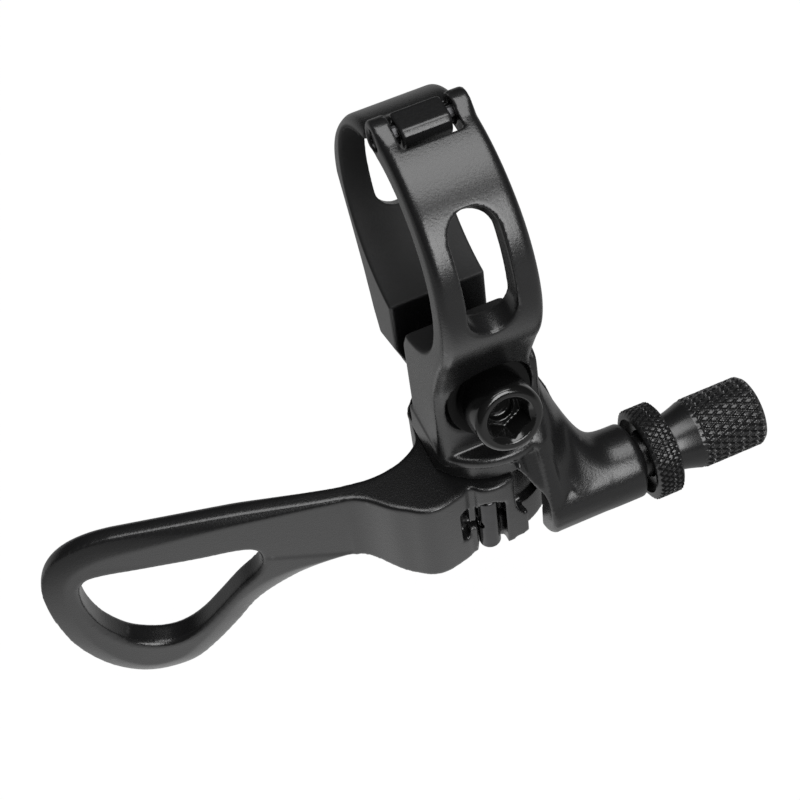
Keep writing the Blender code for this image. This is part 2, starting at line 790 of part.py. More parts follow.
def make_hinge_pin():
    reach = body_half_width(hinge_y, hinge_z) - BORE_EDGE_BEVEL
    mesh = turned(
        "hinge_pin",
        [
            (0.0, reach),
            (HINGE_PIN_DIAMETER / 2 - FIT, reach),
            (HINGE_PIN_DIAMETER / 2, reach - FIT),
            (HINGE_PIN_DIAMETER / 2, FIT - reach),
            (HINGE_PIN_DIAMETER / 2 - FIT, -reach),
            (0.0, -reach),
        ],
        (0, hinge_y, hinge_z),
        SMALL,
        along="X",
    )
    add_part("hinge_pin", mesh, DARK_STEEL, 0.3)


def on_bolt(mesh):
    """Moves a piece turned about Z onto the bolt's axis, heads towards the rider."""
    turn = Matrix.Rotation(math.pi / 2 - BOLT_TILT, 4, "X")
    mesh.transform(Matrix.Translation(Vector((BOLT_OFFSET, *tilted(0.0, -bolt_drop)))) @ turn)
    return mesh


def make_clamp_bolt():
    radius = BOLT_DIAMETER / 2
    head = BOLT_HEAD_DIAMETER / 2
    top = -(head_along - BOLT_HEAD_HEIGHT)
    base = -head_along
    tip = -(lug_along - GAP)
    profile = [
        (0.0, top),
        (head - 0.0006, top),
        (head - 0.0002, top - 0.00015),
        (head, top - 0.0006),
        (head, base + 0.0003),
        (head - 0.0002, base),
        (radius, base),
        (radius, tip + 0.0005),
        (radius - 0.0005, tip),
        (0.0, tip),
    ]
    mesh = on_bolt(turned("clamp_bolt", profile, (0, 0, 0), MEDIUM))
    bolt = add_part("clamp_bolt", mesh, DARK_STEEL, 0.22)
    front = head_along - BOLT_HEAD_HEIGHT
    floor = front + BOLT_SOCKET_DEPTH
    cut(
        bolt,
        hexagon("bolt_socket", BOLT_SOCKET_WIDTH, bolt_point(front - 0.001), bolt_point(floor)),
        bolt_cylinder("bolt_socket_drill", BOLT_SOCKET_WIDTH * 0.36, front - 0.001, floor + 0.0008, SMALL),
    )
    washer = turned(
        "clamp_washer",
        [
            (WASHER_DIAMETER / 2 - 0.0002, -washer_along),
            (WASHER_DIAMETER / 2, -washer_along - 0.0002),
            (WASHER_DIAMETER / 2, -washer_along - WASHER_THICKNESS),
            (radius + GAP, -washer_along - WASHER_THICKNESS),
            (radius + GAP, -washer_along),
        ],
        (0, 0, 0),
        MEDIUM,
    )
    add_part("clamp_washer", on_bolt(washer), DARK_STEEL, 0.25)


def about_pivot(name, profile, sides):
    return turned(name, profile, (PIVOT_X, PIVOT_Y, 0), sides)


def make_bearing(label, top_z):
    """Ball bearing with its rings, balls and cage."""
    low_z = top_z - BEARING_WIDTH
    mid_z = (top_z + low_z) / 2
    groove = BALL_RADIUS + RACE_CLEARANCE
    edge = 0.00015
    reach = math.acos(RACE_SHOULDER / groove)
    inner_groove = [
        (ball_circle_radius - groove * math.cos(a), mid_z + groove * math.sin(a))
        for a in (reach * (1 - k / 2) for k in range(5))
    ]
    inner_ring = [
        (BEARING_BORE_RADIUS, low_z + edge),
        (BEARING_BORE_RADIUS, top_z - edge),
        (BEARING_BORE_RADIUS + edge, top_z),
        (inner_race_radius, top_z),
        *inner_groove,
        (inner_race_radius, low_z),
        (BEARING_BORE_RADIUS + edge, low_z),
    ]
    outer_groove = [
        (ball_circle_radius + groove * math.cos(a), mid_z + groove * math.sin(a))
        for a in (reach * (k / 2 - 1) for k in range(5))
    ]
    outer_ring = [
        (outer_race_radius, top_z),
        (BEARING_RADIUS - edge, top_z),
        (BEARING_RADIUS, top_z - edge),
        (BEARING_RADIUS, low_z + edge),
        (BEARING_RADIUS - edge, low_z),
        (outer_race_radius, low_z),
        *outer_groove,
    ]
    add_part(label + "_inner_ring", about_pivot(label + "_inner_ring", inner_ring, SMALL), STEEL, 0.2)
    add_part(label + "_outer_ring", about_pivot(label + "_outer_ring", outer_ring, SMALL), STEEL, 0.2)
    for k in range(BALL_COUNT):
        angle = 2 * math.pi * k / BALL_COUNT
        centre = Vector(
            (
                PIVOT_X + ball_circle_radius * math.cos(angle),
                PIVOT_Y + ball_circle_radius * math.sin(angle),
                mid_z,
            )
        )
        bm = bmesh.new()
        bmesh.ops.create_uvsphere(
            bm, u_segments=8, v_segments=5, radius=BALL_RADIUS, matrix=Matrix.Translation(centre)
        )
        name = label + "_ball_" + str(k + 1)
        add_part(name, finish_mesh(bm, name), BRIGHT_STEEL, 0.1, 1.0)
    cage_half = (outer_race_radius - inner_race_radius) / 2 - RACE_CLEARANCE * 1.5
    cage = [
        (ball_circle_radius + cage_half, mid_z + CAGE_WIDTH / 2),
        (ball_circle_radius + cage_half, mid_z - CAGE_WIDTH / 2),
        (ball_circle_radius - cage_half, mid_z - CAGE_WIDTH / 2),
        (ball_circle_radius - cage_half, mid_z + CAGE_WIDTH / 2),
    ]
    ring = add_part(label + "_cage", about_pivot(label + "_cage", cage, ROUND), BRASS, 0.35, 0.8)
    for k in range(BALL_COUNT):
        angle = 2 * math.pi * k / BALL_COUNT
        out = Vector((math.cos(angle), math.sin(angle), 0))
        middle = Vector((PIVOT_X, PIVOT_Y, mid_z))
        cut(
            ring,
            cylinder(
                label + "_pocket_" + str(k),
                BALL_RADIUS + RACE_CLEARANCE,
                middle + out * (ball_circle_radius - 0.001),
                middle + out * (ball_circle_radius + 0.001),
                8,
            ),
        )


def make_pivot():
    """Shoulder bolt, spacer and cover that carry the lever's bearings."""
    shank = BEARING_BORE_RADIUS - FIT
    thread = PIVOT_THREAD_DIAMETER / 2
    head_top_z = cover_bottom_z - FIT
    head_low_z = head_top_z - PIVOT_HEAD_HEIGHT
    thread_top_z = pivot_tip_z - GAP
    profile = [
        (0.0, thread_top_z),
        (thread - 0.0004, thread_top_z),
        (thread, thread_top_z - 0.0004),
        (thread, spigot_bottom_z - FIT),
        (shank, spigot_bottom_z - FIT),
        (shank, head_top_z),
        (PIVOT_HEAD_RADIUS, head_top_z),
        (PIVOT_HEAD_RADIUS, head_low_z + 0.0007),
        (PIVOT_HEAD_RADIUS - 0.0007, head_low_z),
        (0.0, head_low_z),
    ]
    bolt = add_part("pivot_bolt", about_pivot("pivot_bolt", profile, ROUND), DARK_STEEL, 0.25)
    cut(
        bolt,
        hexagon(
            "pivot_socket",
            PIVOT_SOCKET_WIDTH,
            (PIVOT_X, PIVOT_Y, head_low_z - 0.001),
            (PIVOT_X, PIVOT_Y, head_low_z + PIVOT_SOCKET_DEPTH),
        ),
    )
    bore = shank + FIT
    spacer = [
        (inner_race_radius, spacer_top_z),
        (inner_race_radius, spacer_bottom_z),
        (bore, spacer_bottom_z),
        (bore, spacer_top_z),
    ]
    add_part("bearing_spacer", about_pivot("bearing_spacer", spacer, ROUND), STEEL, 0.35)
    rim = bearing_seat_radius - GAP
    cover = [
        (inner_race_radius, cover_top_z),
        (inner_race_radius, cover_top_z - GAP),
        (rim, cover_top_z - GAP),
        (rim, cover_bottom_z + GAP),
        (rim - GAP, cover_bottom_z),
        (bore, cover_bottom_z),
        (bore, cover_top_z),
    ]
    add_part("bearing_cover", about_pivot("bearing_cover", cover, ROUND), BLACK, 0.4)


def make_lever():
    """Machined lever: hub, curved arm and the dished paddle with its opening."""
    edge = LEVER_EDGE_BEVEL
    outline = hub_outline()
    inner = inset(outline, [edge] * len(outline))
    rings = [
        along_z(inner, lever_bottom_z),
        along_z(outline, lever_bottom_z + edge),
        along_z(outline, lever_top_z - edge),
        along_z(inner, lever_top_z),
    ]
    lever = add_part("thumb_lever", loft("thumb_lever", rings), BLACK, 0.4)
    cut(lever, make_underside())
    join(lever, make_paddle())
    pivot = (PIVOT_X, PIVOT_Y)
    land_radius = outer_race_radius + FIT
    cut(
        lever,
        make_paddle_hole(),
        cylinder(
            "hub_bore",
            land_radius,
            (*pivot, lever_bottom_z - 0.001),
            (*pivot, lever_top_z + 0.001),
            MEDIUM,
        ),
        cylinder(
            "upper_bearing_seat",
            bearing_seat_radius,
            (*pivot, spacer_top_z),
            (*pivot, lever_top_z + 0.001),
            FINE,
        ),
        cylinder(
            "lower_bearing_seat",
            bearing_seat_radius,
            (*pivot, lever_bottom_z - 0.001),
            (*pivot, spacer_bottom_z),
            FINE,
        ),
        make_hub_notch(),
        cylinder(
            "anchor_bore",
            ANCHOR_RADIUS + FIT,
            (ANCHOR_X, anchor_y, lever_bottom_z - 0.001),
            (ANCHOR_X, anchor_y, anchor_top_z + FIT),
            SMALL,
        ),
        make_window(),
        make_tail_slot(),
        box(
            "cable_passage",
            (TAIL_SLOT_X, tube_y - CABLE_HOLE_RADIUS, tube_z - CABLE_HOLE_RADIUS),
            (HUB_NOTCH_START + 0.001, tube_y + 2 * CABLE_HOLE_RADIUS, tube_z + CABLE_HOLE_RADIUS),
        ),
    )


def hub_outline():
    """Plan of the hub, its front lobe and the root of the arm, counterclockwise."""
    root_x, root_y = ARM_ROOT
    slope = math.tan(ARM_ANGLE)
    back_x = root_x + 0.0004
    rear_step = ARM_THICKNESS / math.cos(ARM_ANGLE)
    lobe_y = tube_y - 0.0010
    front = smooth_through(
        [
            (back_x, root_y + slope * (back_x - root_x)),
            (root_x + 0.0015, root_y - 0.0005),
            (root_x + 0.0027, root_y - 0.0014),
            (root_x + 0.0046, root_y - 0.0034),
            (root_x + 0.0065, lobe_y + 0.0010),
            (root_x + 0.0088, lobe_y),
            (root_x + 0.0103, lobe_y + 0.0001),
            (root_x + 0.0112, tube_y - 0.0006),
        ],
        3,
    )
    hub = arc((PIVOT_X, PIVOT_Y), HUB_RADIUS, math.radians(243.0), math.radians(500.0), 38)
    rear = smooth_through(
        [
            (root_x + 0.01055, PIVOT_Y + 0.0024),
            (root_x + 0.01020, PIVOT_Y + 0.0011),
            (root_x + 0.0095, PIVOT_Y + 0.0003),
            (root_x + 0.0084, PIVOT_Y - 0.0004),
            (root_x + 0.0068, PIVOT_Y - 0.0010),
            (root_x + 0.0040, PIVOT_Y - 0.0013),
            (back_x, root_y + slope * (back_x - root_x) + rear_step),
        ],
        4,
    )
    return front + hub + rear


def arm_point(along, drop, depth):
    """A point of the arm: along it from its root, below its top, and behind its front face."""
    x = ARM_ROOT[0] - along * math.cos(ARM_ANGLE) - depth * math.sin(ARM_ANGLE)
    y = ARM_ROOT[1] - along * math.sin(ARM_ANGLE) + depth * math.cos(ARM_ANGLE)
    return (x, y, lever_top_z - drop)


# Lower edge of the arm and round the paddle, as shares of the paddle's length and height
PADDLE_EDGE = [
    (-0.045, 0.390),
    (0.020, 0.385),
    (0.100, 0.415),
    (0.200, 0.475),
    (0.330, 0.595),
    (0.420, 0.735),
    (0.510, 0.865),
    (0.600, 0.965),
    (0.700, 1.000),
    (0.790, 0.985),
    (0.870, 0.915),
    (0.930, 0.810),
    (0.975, 0.670),
    (0.997, 0.500),
    (1.000, 0.360),
    (0.985, 0.200),
    (0.955, 0.080),
    (0.910, 0.015),
    (0.870, 0.000),
]

# Opening in the paddle, in the same shares
PADDLE_HOLE = [
    (0.470, 0.217),
    (0.345, 0.214),
    (0.293, 0.240),
    (0.285, 0.310),
    (0.310, 0.380),
    (0.380, 0.470),
    (0.466, 0.598),
    (0.530, 0.687),
    (0.593, 0.747),
    (0.655, 0.772),
    (0.720, 0.757),
    (0.790, 0.700),
    (0.849, 0.580),
    (0.875, 0.450),
    (0.877, 0.330),
    (0.855, 0.245),
    (0.800, 0.209),
    (0.630, 0.213),
]


def make_paddle():
    """Blade of the lever with a wide soft bevel round its front."""
    low_edge = smooth_through(PADDLE_EDGE, 3)
    top_edge = [(0.870 - 0.915 * k / 8, 0.0) for k in range(1, 9)]
    shares = low_edge + top_edge
    outline = [(-share * PADDLE_LENGTH, -drop * PADDLE_HEIGHT) for share, drop in shares]
    front_widths = []
    rear_widths = []
    for share, drop in shares:
        fade = min(1.0, max(0.0, (share - 0.02) / 0.26))
        fade = fade * fade * (3 - 2 * fade)
        upper = min(1.0, max(0.0, drop / 0.12))
        wide = LEVER_EDGE_BEVEL + (PADDLE_BEVEL_WIDTH - LEVER_EDGE_BEVEL) * fade * upper
        front_widths.append(wide)
        rear_widths.append(LEVER_EDGE_BEVEL + (PADDLE_REAR_BEVEL - LEVER_EDGE_BEVEL) * fade)
    clockwise = list(reversed(list(zip(outline, front_widths, rear_widths, shares))))
    outline = [item[0] for item in clockwise]
    front_inner = inset(outline, [item[1] for item in clockwise])
    rear_inner = inset(outline, [item[2] for item in clockwise])
    rings = [[], [], [], []]
    for i, item in enumerate(clockwise):
        share = item[3][0]
        sink = 0.00012 * min(1.0, max(0.0, -share / 0.045))
        grow = min(1.0, max(0.0, share / 0.35))
        grow = grow * grow * (3 - 2 * grow)
        thick = ARM_THICKNESS + (PADDLE_THICKNESS - ARM_THICKNESS) * grow
        depth = LEVER_EDGE_BEVEL + (PADDLE_BEVEL_DEPTH - LEVER_EDGE_BEVEL) * grow
        back = LEVER_EDGE_BEVEL + (PADDLE_REAR_BEVEL - LEVER_EDGE_BEVEL) * grow
        for ring, (along, rise), level in (
            (rings[0], rear_inner[i], thick),
            (rings[1], outline[i], thick - back),
            (rings[2], outline[i], depth),
            (rings[3], front_inner[i], 0.0),
        ):
            level = min(max(level, sink), thick - sink)
            drop = min(max(-rise, sink), PADDLE_EDGE[1][1] * PADDLE_HEIGHT - sink) if sink else -rise
            ring.append(arm_point(-along, drop, level))
    return add_object("paddle", loft("paddle", rings), cutters)


def make_paddle_hole():
    """Rounded teardrop opening with chamfered rims."""
    closed = [*PADDLE_HOLE, PADDLE_HOLE[0]]
    shares = smooth_through(closed, 2)[:-1]
    outline = [(-share * PADDLE_LENGTH, -drop * PADDLE_HEIGHT) for share, drop in reversed(shares)]
    rim = 0.0004
    wide = inset(outline, [-2 * rim] * len(outline))
    rings = []
    for ring, level in (
        (wide, PADDLE_THICKNESS + rim),
        (outline, PADDLE_THICKNESS - rim),
        (outline, rim),
        (wide, -rim),
    ):
        rings.append([arm_point(-along, -rise, level) for along, rise in ring])
    return add_object("paddle_hole", loft("paddle_hole", rings), cutters)


def make_underside():
    """Cutter that lifts the arm's lower edge from the hub's height to the arm's."""
    arm_low_z = lever_top_z - 0.385 * PADDLE_HEIGHT
    root_x = ARM_ROOT[0]
    curve = smooth_through(
        [
            (root_x - 0.003, arm_low_z),
            (root_x + 0.0010, arm_low_z),
            (root_x + 0.0035, (arm_low_z + lever_bottom_z) / 2),
            (root_x + 0.0062, lever_bottom_z - 0.0001),
        ],
        4,
    )
    outline = [*curve, (root_x + 0.0062, lever_bottom_z - 0.004), (root_x - 0.003, lever_bottom_z - 0.004)]
    outline = list(reversed(outline))
    rings = [[(x, y, z) for x, z in outline] for y in (0.002, tube_y - 0.006)]
    return add_object("underside", loft("underside", rings), cutters)


def make_hub_notch():
    """Step in the hub's right front, where the cable comes in."""
    wall = bearing_seat_radius + 0.0005
    start = math.atan2(
        -math.sqrt(wall**2 - (HUB_NOTCH_START - PIVOT_X) ** 2), HUB_NOTCH_START - PIVOT_X
    )
    curve = arc((PIVOT_X, PIVOT_Y), wall, math.radians(-20.0), start, 12)
    far = PIVOT_X + HUB_RADIUS + 0.003
    near = PIVOT_Y - HUB_RADIUS - 0.003
    outline = [(HUB_NOTCH_START, near), (far, near), (far, curve[0][1]), *curve]
    low_z = lever_top_z - HUB_NOTCH_DEPTH
    rings = [along_z(outline, low_z), along_z(outline, lever_top_z + 0.001)]
    return add_object("hub_notch", loft("hub_notch", rings), cutters)


def make_window():
    """Arched opening in front of the cable anchor."""
    top = lever_top_z - WINDOW_DROP - WINDOW_RADIUS
    low = lever_bottom_z + HUB_LIP_HEIGHT
    outline = [
        (ANCHOR_X + WINDOW_RADIUS, low),
        *[(ANCHOR_X + x, top + z) for x, z in arc((0, 0), WINDOW_RADIUS, 0, math.pi, 12)],
        (ANCHOR_X - WINDOW_RADIUS, low),
    ]
    rings = [[(x, y, z) for x, z in outline] for y in (anchor_y, anchor_y - 0.006)]
    return add_object("anchor_window", loft("anchor_window", rings), cutters)


def make_tail_slot():
    """Upright slot that the cable's cut end leaves through."""
    low = lever_top_z - TAIL_SLOT_TOP - TAIL_SLOT_LENGTH
    outline = stadium(TAIL_SLOT_WIDTH / 2, low, low + TAIL_SLOT_LENGTH)
    rings = [
        [(TAIL_SLOT_X + x, y, z) for x, z in outline] for y in (tube_y + 0.0013, tube_y - 0.006)
    ]
    return add_object("tail_slot", loft("tail_slot", rings), cutters)


def make_anchor():
    """Swivelling barrel that grips the cable, and its grub screw."""
    low_z = anchor_top_z - ANCHOR_LENGTH
    edge = FIT
    place = (ANCHOR_X, anchor_y, 0)
    profile = [
        (0.0, anchor_top_z),
        (ANCHOR_RADIUS - edge, anchor_top_z),
        (ANCHOR_RADIUS, anchor_top_z - edge),
        (ANCHOR_RADIUS, low_z + edge),
        (ANCHOR_RADIUS - edge, low_z),
        (0.0, low_z),
    ]
    anchor = add_part("cable_anchor", turned("cable_anchor", profile, place, ROUND), STEEL, 0.25)
    screw_top_z = tube_z - CABLE_HOLE_RADIUS
    cut(
        anchor,
        cylinder(
            "anchor_thread",
            ANCHOR_SCREW_RADIUS + FIT,
            (ANCHOR_X, anchor_y, low_z - 0.001),
            (ANCHOR_X, anchor_y, screw_top_z + FIT),
            SMALL,
        ),
        cylinder(
            "anchor_cable_hole",
            CABLE_HOLE_RADIUS,
            (ANCHOR_X - 0.003, tube_y, tube_z),
            (ANCHOR_X + 0.003, tube_y, tube_z),
            SMALL,
        ),
    )
    screw_low_z = screw_top_z - ANCHOR_SCREW_LENGTH
    screw = [
        (0.0, screw_top_z),
        (ANCHOR_SCREW_RADIUS - edge, screw_top_z),
        (ANCHOR_SCREW_RADIUS, screw_top_z - edge),
        (ANCHOR_SCREW_RADIUS, screw_low_z + edge),
        (ANCHOR_SCREW_RADIUS - edge, screw_low_z),
        (0.0, screw_low_z),
    ]
    grub = add_part("cable_clamp_screw", turned("cable_clamp_screw", screw, place, SMALL), DARK_STEEL, 0.3)
    cut(
        grub,
        hexagon(
            "grub_socket",
            ANCHOR_SCREW_RADIUS * 1.05,
            (ANCHOR_X, anchor_y, screw_low_z - 0.001),
            (ANCHOR_X, anchor_y, screw_low_z + ANCHOR_SCREW_RADIUS * 1.4),
        ),
    )


def knurled(name, radius, start, end, around, rows, edge):
    """Rings of a diamond knurl between two places along X, for use inside a loft."""
    rings = []
    for k in range(rows + 1):
        x = start + (end - start) * k / rows
        ring = []
        for i in range(around):
            angle = 2 * math.pi * i / around
            raised = (i + k) % 2 == 0
            depth = 0.0 if raised else KNURL_DEPTH
            if k in (0, rows):
                depth += edge
            r = radius - depth
            ring.append((x, tube_y + r * math.cos(angle), tube_z + r * math.sin(angle)))
        rings.append(ring)
    return rings


def round_ring(x, radius, around):
    return [
        (
            x,
            tube_y + radius * math.cos(2 * math.pi * i / around),
            tube_z + radius * math.sin(2 * math.pi * i / around),
        )
        for i in range(around)
    ]


def make_adjuster():
    """Barrel adjuster on its thread, with the knurled lock ring."""
    around = 28
    ring_start = TUBE_END + 2 * GAP + ADJUSTER_GAP
    ring_end = ring_start + LOCK_RING_WIDTH
    lock = [round_ring(ring_start, LOCK_RING_RADIUS - 0.0005, around)]
    lock += knurled("lock", LOCK_RING_RADIUS, ring_start + 0.0003, ring_end - 0.0003, around, 4, 0.0001)
    lock += [round_ring(ring_end, LOCK_RING_RADIUS - 0.0005, around)]
    ring = add_part("lock_ring", loft("lock_ring", lock), BLACK, 0.4)
    cut(
        ring,
        cylinder(
            "lock_ring_thread",
            THREAD_RADIUS + FIT,
            (ring_start - 0.001, tube_y, tube_z),
            (ring_end + 0.001, tube_y, tube_z),
            MEDIUM,
        ),
    )
    neck_start = ring_end + GAP
    grip_start = neck_start + ADJUSTER_NECK_LENGTH
    grip_end = grip_start + ADJUSTER_GRIP_LENGTH
    thread_start = TUBE_END - THREAD_BORE_DEPTH + 2 * GAP
    rings = [
        round_ring(thread_start, THREAD_RADIUS - 0.0003, around),
        round_ring(thread_start + 0.0003, THREAD_RADIUS, around),
        round_ring(neck_start - FIT, THREAD_RADIUS, around),
        round_ring(neck_start, ADJUSTER_NECK_RADIUS - 0.0002, around),
        round_ring(neck_start + 0.0002, ADJUSTER_NECK_RADIUS, around),
    ]
    for k in range(1, 6):
        t = k / 6
        flare = t * t * t
        radius = ADJUSTER_NECK_RADIUS + (ADJUSTER_RADIUS - KNURL_DEPTH - ADJUSTER_NECK_RADIUS) * flare
        rings.append(round_ring(neck_start + 0.0002 + (ADJUSTER_NECK_LENGTH - 0.0004) * t, radius, around))
    rings += knurled("grip", ADJUSTER_RADIUS, grip_start, grip_end - 0.0004, around, 9, 0.0)
    rings.append(round_ring(grip_end, ADJUSTER_RADIUS - 0.0006, around))
    barrel = add_part("barrel_adjuster", loft("barrel_adjuster", rings), BLACK, 0.4)
    cut(
        barrel,
        cylinder(
            "housing_socket",
            HOUSING_SOCKET_RADIUS,
            (grip_end - HOUSING_SOCKET_DEPTH, tube_y, tube_z),
            (grip_end + 0.001, tube_y, tube_z),
            MEDIUM,
        ),
        cylinder(
            "barrel_cable_bore",
            CABLE_BORE_RADIUS,
            (thread_start - 0.001, tube_y, tube_z),
            (grip_end, tube_y, tube_z),
            SMALL,
        ),
    )


make_body()
make_strap()
make_hinge_pin()
make_clamp_bolt()
make_lever()
make_bearing("upper_bearing", upper_bearing_top_z)
make_bearing("lower_bearing", lower_bearing_top_z)
make_pivot()
make_anchor()
make_adjuster()
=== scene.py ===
"""Dropper post remote lever for a 22.2 mm handlebar, dressed for its picture.

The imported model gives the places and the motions. Each section below makes one piece the way it
shows, in metres, in the same frame: X runs along the handlebar, Y points forward, Z is up.
"""

import math

import bmesh
import bpy
import numpy as np
from mathutils import Matrix, Vector


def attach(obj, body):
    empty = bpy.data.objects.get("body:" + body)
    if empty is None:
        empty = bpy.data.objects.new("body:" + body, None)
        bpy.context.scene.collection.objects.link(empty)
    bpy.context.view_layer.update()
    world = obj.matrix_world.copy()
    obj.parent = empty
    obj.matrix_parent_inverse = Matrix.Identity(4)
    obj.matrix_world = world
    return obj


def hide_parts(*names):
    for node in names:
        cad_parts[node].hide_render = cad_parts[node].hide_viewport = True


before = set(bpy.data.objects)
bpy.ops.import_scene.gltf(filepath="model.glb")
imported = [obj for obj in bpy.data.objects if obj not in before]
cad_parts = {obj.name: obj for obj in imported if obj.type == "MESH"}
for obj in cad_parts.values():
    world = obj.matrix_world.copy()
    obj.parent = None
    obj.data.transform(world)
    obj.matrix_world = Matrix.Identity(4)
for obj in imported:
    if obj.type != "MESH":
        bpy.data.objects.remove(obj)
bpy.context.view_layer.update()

# Clamp body: band arch, bolt block, pivot boss and cable tube in one aluminium piece. It is cast,
# then machined where the bolt, the pivot and the tube's end sit, blasted and anodised black.

# Band and its front slot
BAR_RADIUS = 0.0111
BAND_RADIUS = 0.0138
HALF_BAND = 0.0053
HALF_SHOULDER = 0.0047
BAND_ROUNDING = 0.0009
BORE_ROUNDING = 0.0003
FRONT_SLOT_WIDTH = 0.0049
FRONT_SLOT_START = math.radians(131.0)
FRONT_SLOT_END = math.radians(187.0)

# Hinge of the strap, whose tongue turns in a notch of the band
HINGE_ANGLE = math.radians(89.0)
HINGE_RADIUS = 0.0125850
KNUCKLE_RADIUS = 0.0019
PIN_RADIUS = 0.0009
HALF_TONGUE = 0.00245
TONGUE_ROOM = 0.00055
NOTCH_ROOM = 0.0012

# Running gap between pieces, the closer fit of pins and threads, and an unmarked broken edge
GAP = 0.0003
FIT = 0.00015
EDGE = 0.00035

# Clamp bolt's way through the block
BOLT_TILT = math.radians(22.0)
BOLT_X = 0.0006
BOLT_HOLE_RADIUS = 0.0028
BOLT_DROP = 0.0190
SEAT_STEP = 0.0017
STRAP_OPENING = math.radians(4.0)
WASHER_RADIUS = 0.0045

# Block, boss and collar above the lever's hub
PIVOT_X = 0.0014
PIVOT_Y = -0.0036
PIVOT_HOLE_RADIUS = 0.00215
PIVOT_TIP_WALL = 0.0006
PIVOT_THREAD_LENGTH = 0.00535
REAR_FACE_Y = -0.0012
FRONT_FACE_Y = -0.0093
BOSS_RADIUS = 0.0078
COLLAR_RADIUS = 0.0084
COLLAR_RISE = 0.0040
COLLAR_THICKNESS = 0.0013
REAR_PLATE = 0.0010
HUB_ROOM_RADIUS = 0.0088
SPIGOT_RADIUS = 0.00335

# Cable tube, and the web that carries it out from the block
CABLE_DEPTH = 0.0069
CABLE_BORE_RADIUS = 0.001
TUBE_Y = -0.0110
TUBE_RADIUS = 0.00425
TUBE_START = 0.0043
TUBE_END = 0.0156
THREAD_RADIUS = 0.0026
THREAD_BORE_DEPTH = 0.007
WEB_START = 0.0013
WEB_RISE = 0.0138
WEB_FALL_POWER = 2.1
WEB_SQUARE_POWER = 6.0
WEB_UNDERCUT = 0.0008
RIM_LOW_Z = -0.0262
RIM_TOP_Z = -0.0252

tilt_cos = math.cos(BOLT_TILT)
tilt_sin = math.sin(BOLT_TILT)
bolt_z = -BOLT_DROP * tilt_cos - (PIVOT_Y + BOLT_DROP * tilt_sin) / tilt_cos * tilt_sin
pivot_tip_z = bolt_z - BOLT_HOLE_RADIUS / tilt_cos - PIVOT_TIP_WALL
boss_z = pivot_tip_z - PIVOT_THREAD_LENGTH
collar_z = boss_z + COLLAR_RISE
lever_top_z = boss_z - GAP
tube_z = lever_top_z - CABLE_DEPTH
hinge_y = HINGE_RADIUS * math.cos(HINGE_ANGLE)
hinge_z = HINGE_RADIUS * math.sin(HINGE_ANGLE)
knuckle_turn = math.acos(
    (BAR_RADIUS**2 - HINGE_RADIUS**2 - KNUCKLE_RADIUS**2) / (2 * HINGE_RADIUS * KNUCKLE_RADIUS)
)
knuckle_reach = math.asin(KNUCKLE_RADIUS * math.sin(knuckle_turn) / BAR_RADIUS)


def place(name, mesh):
    """Puts a mesh in the scene as an object of its own."""
    item = bpy.data.objects.new(name, mesh)
    bpy.context.scene.collection.objects.link(item)
    return item


def closed(name, bm):
    """Turns worked geometry into a named object, with its faces outwards."""
    bmesh.ops.recalc_face_normals(bm, faces=bm.faces)
    if bm.calc_volume(signed=True) < 0:
        bmesh.ops.reverse_faces(bm, faces=bm.faces)
    mesh = bpy.data.meshes.new(name)
    bm.to_mesh(mesh)
    bm.free()
    mesh.shade_smooth()
    return place(name, mesh)


def loft(name, rings):
    """Closed form through rings that have the same number of points each."""
    bm = bmesh.new()
    count = len(rings[0])
    loops = [[bm.verts.new(point) for point in ring] for ring in rings]
    for lower, upper in zip(loops, loops[1:]):
        for i in range(count):
            j = (i + 1) % count
            bm.faces.new((lower[i], lower[j], upper[j], upper[i]))
    caps = [bm.faces.new(list(reversed(loops[0]))), bm.faces.new(loops[-1])]
    bm.normal_update()
    bmesh.ops.triangulate(bm, faces=caps)
    return closed(name, bm)


def arc(centre, radius, start, end, count):
    """Points along an arc, both ends included."""
    turns = [start + (end - start) * i / count for i in range(count + 1)]
    return [(centre[0] + radius * math.cos(t), centre[1] + radius * math.sin(t)) for t in turns]


def inset(outline, amounts):
    """A counterclockwise outline moved inwards by an amount at each point."""
    moved = []
    for i, point in enumerate(outline):
        here = Vector(point)
        first = (here - Vector(outline[i - 1])).normalized()
        second = (Vector(outline[(i + 1) % len(outline)]) - here).normalized()
        normals = [Vector((-way.y, way.x)) for way in (first, second)]
        reach = max(0.35, 1 + normals[0].dot(normals[1]))
        moved.append(tuple(here + (normals[0] + normals[1]) / reach * amounts[i]))
    return moved


def flowing(points, steps):
    """Points of a smooth curve through given points, ends included."""
    curve = []
    padded = [points[0], *points, points[-1]]
    for k in range(1, len(padded) - 2):
        before, start, end, after = (Vector(padded[k + d]) for d in (-1, 0, 1, 2))
        for i in range(steps):
            t = i / steps
            value = start * 2 + (end - before) * t
            value += (before * 2 - start * 5 + end * 4 - after) * t**2
            value += (start * 3 - before - end * 3 + after) * t**3
            curve.append(tuple(value * 0.5))
    curve.append(tuple(points[-1]))
    return curve


def ease(value, low, high):
    """Smooth step from 0 at one place to 1 at another."""
    share = min(1.0, max(0.0, (value - low) / (high - low)))
    return share * share * (3 - 2 * share)


def rounded_plate(name, outline, half_width, roundings, steps=5):
    """An outline in Y and Z, widened along X both ways, with rounded side edges."""
    rings = []
    for side in (-1, 1):
        for k in range(steps + 1):
            turn = math.pi / 2 * (k if side < 0 else steps - k) / steps
            shifted = inset(outline, [r * (1 - math.sin(turn)) for r in roundings])
            ring = []
            for (y, z), (inner_y, inner_z), r in zip(outline, shifted, roundings):
                half = half_width(y, z) - r * (1 - math.cos(turn))
                ring.append((side * half, inner_y, inner_z))
            rings.append(ring)
    return loft(name, rings)


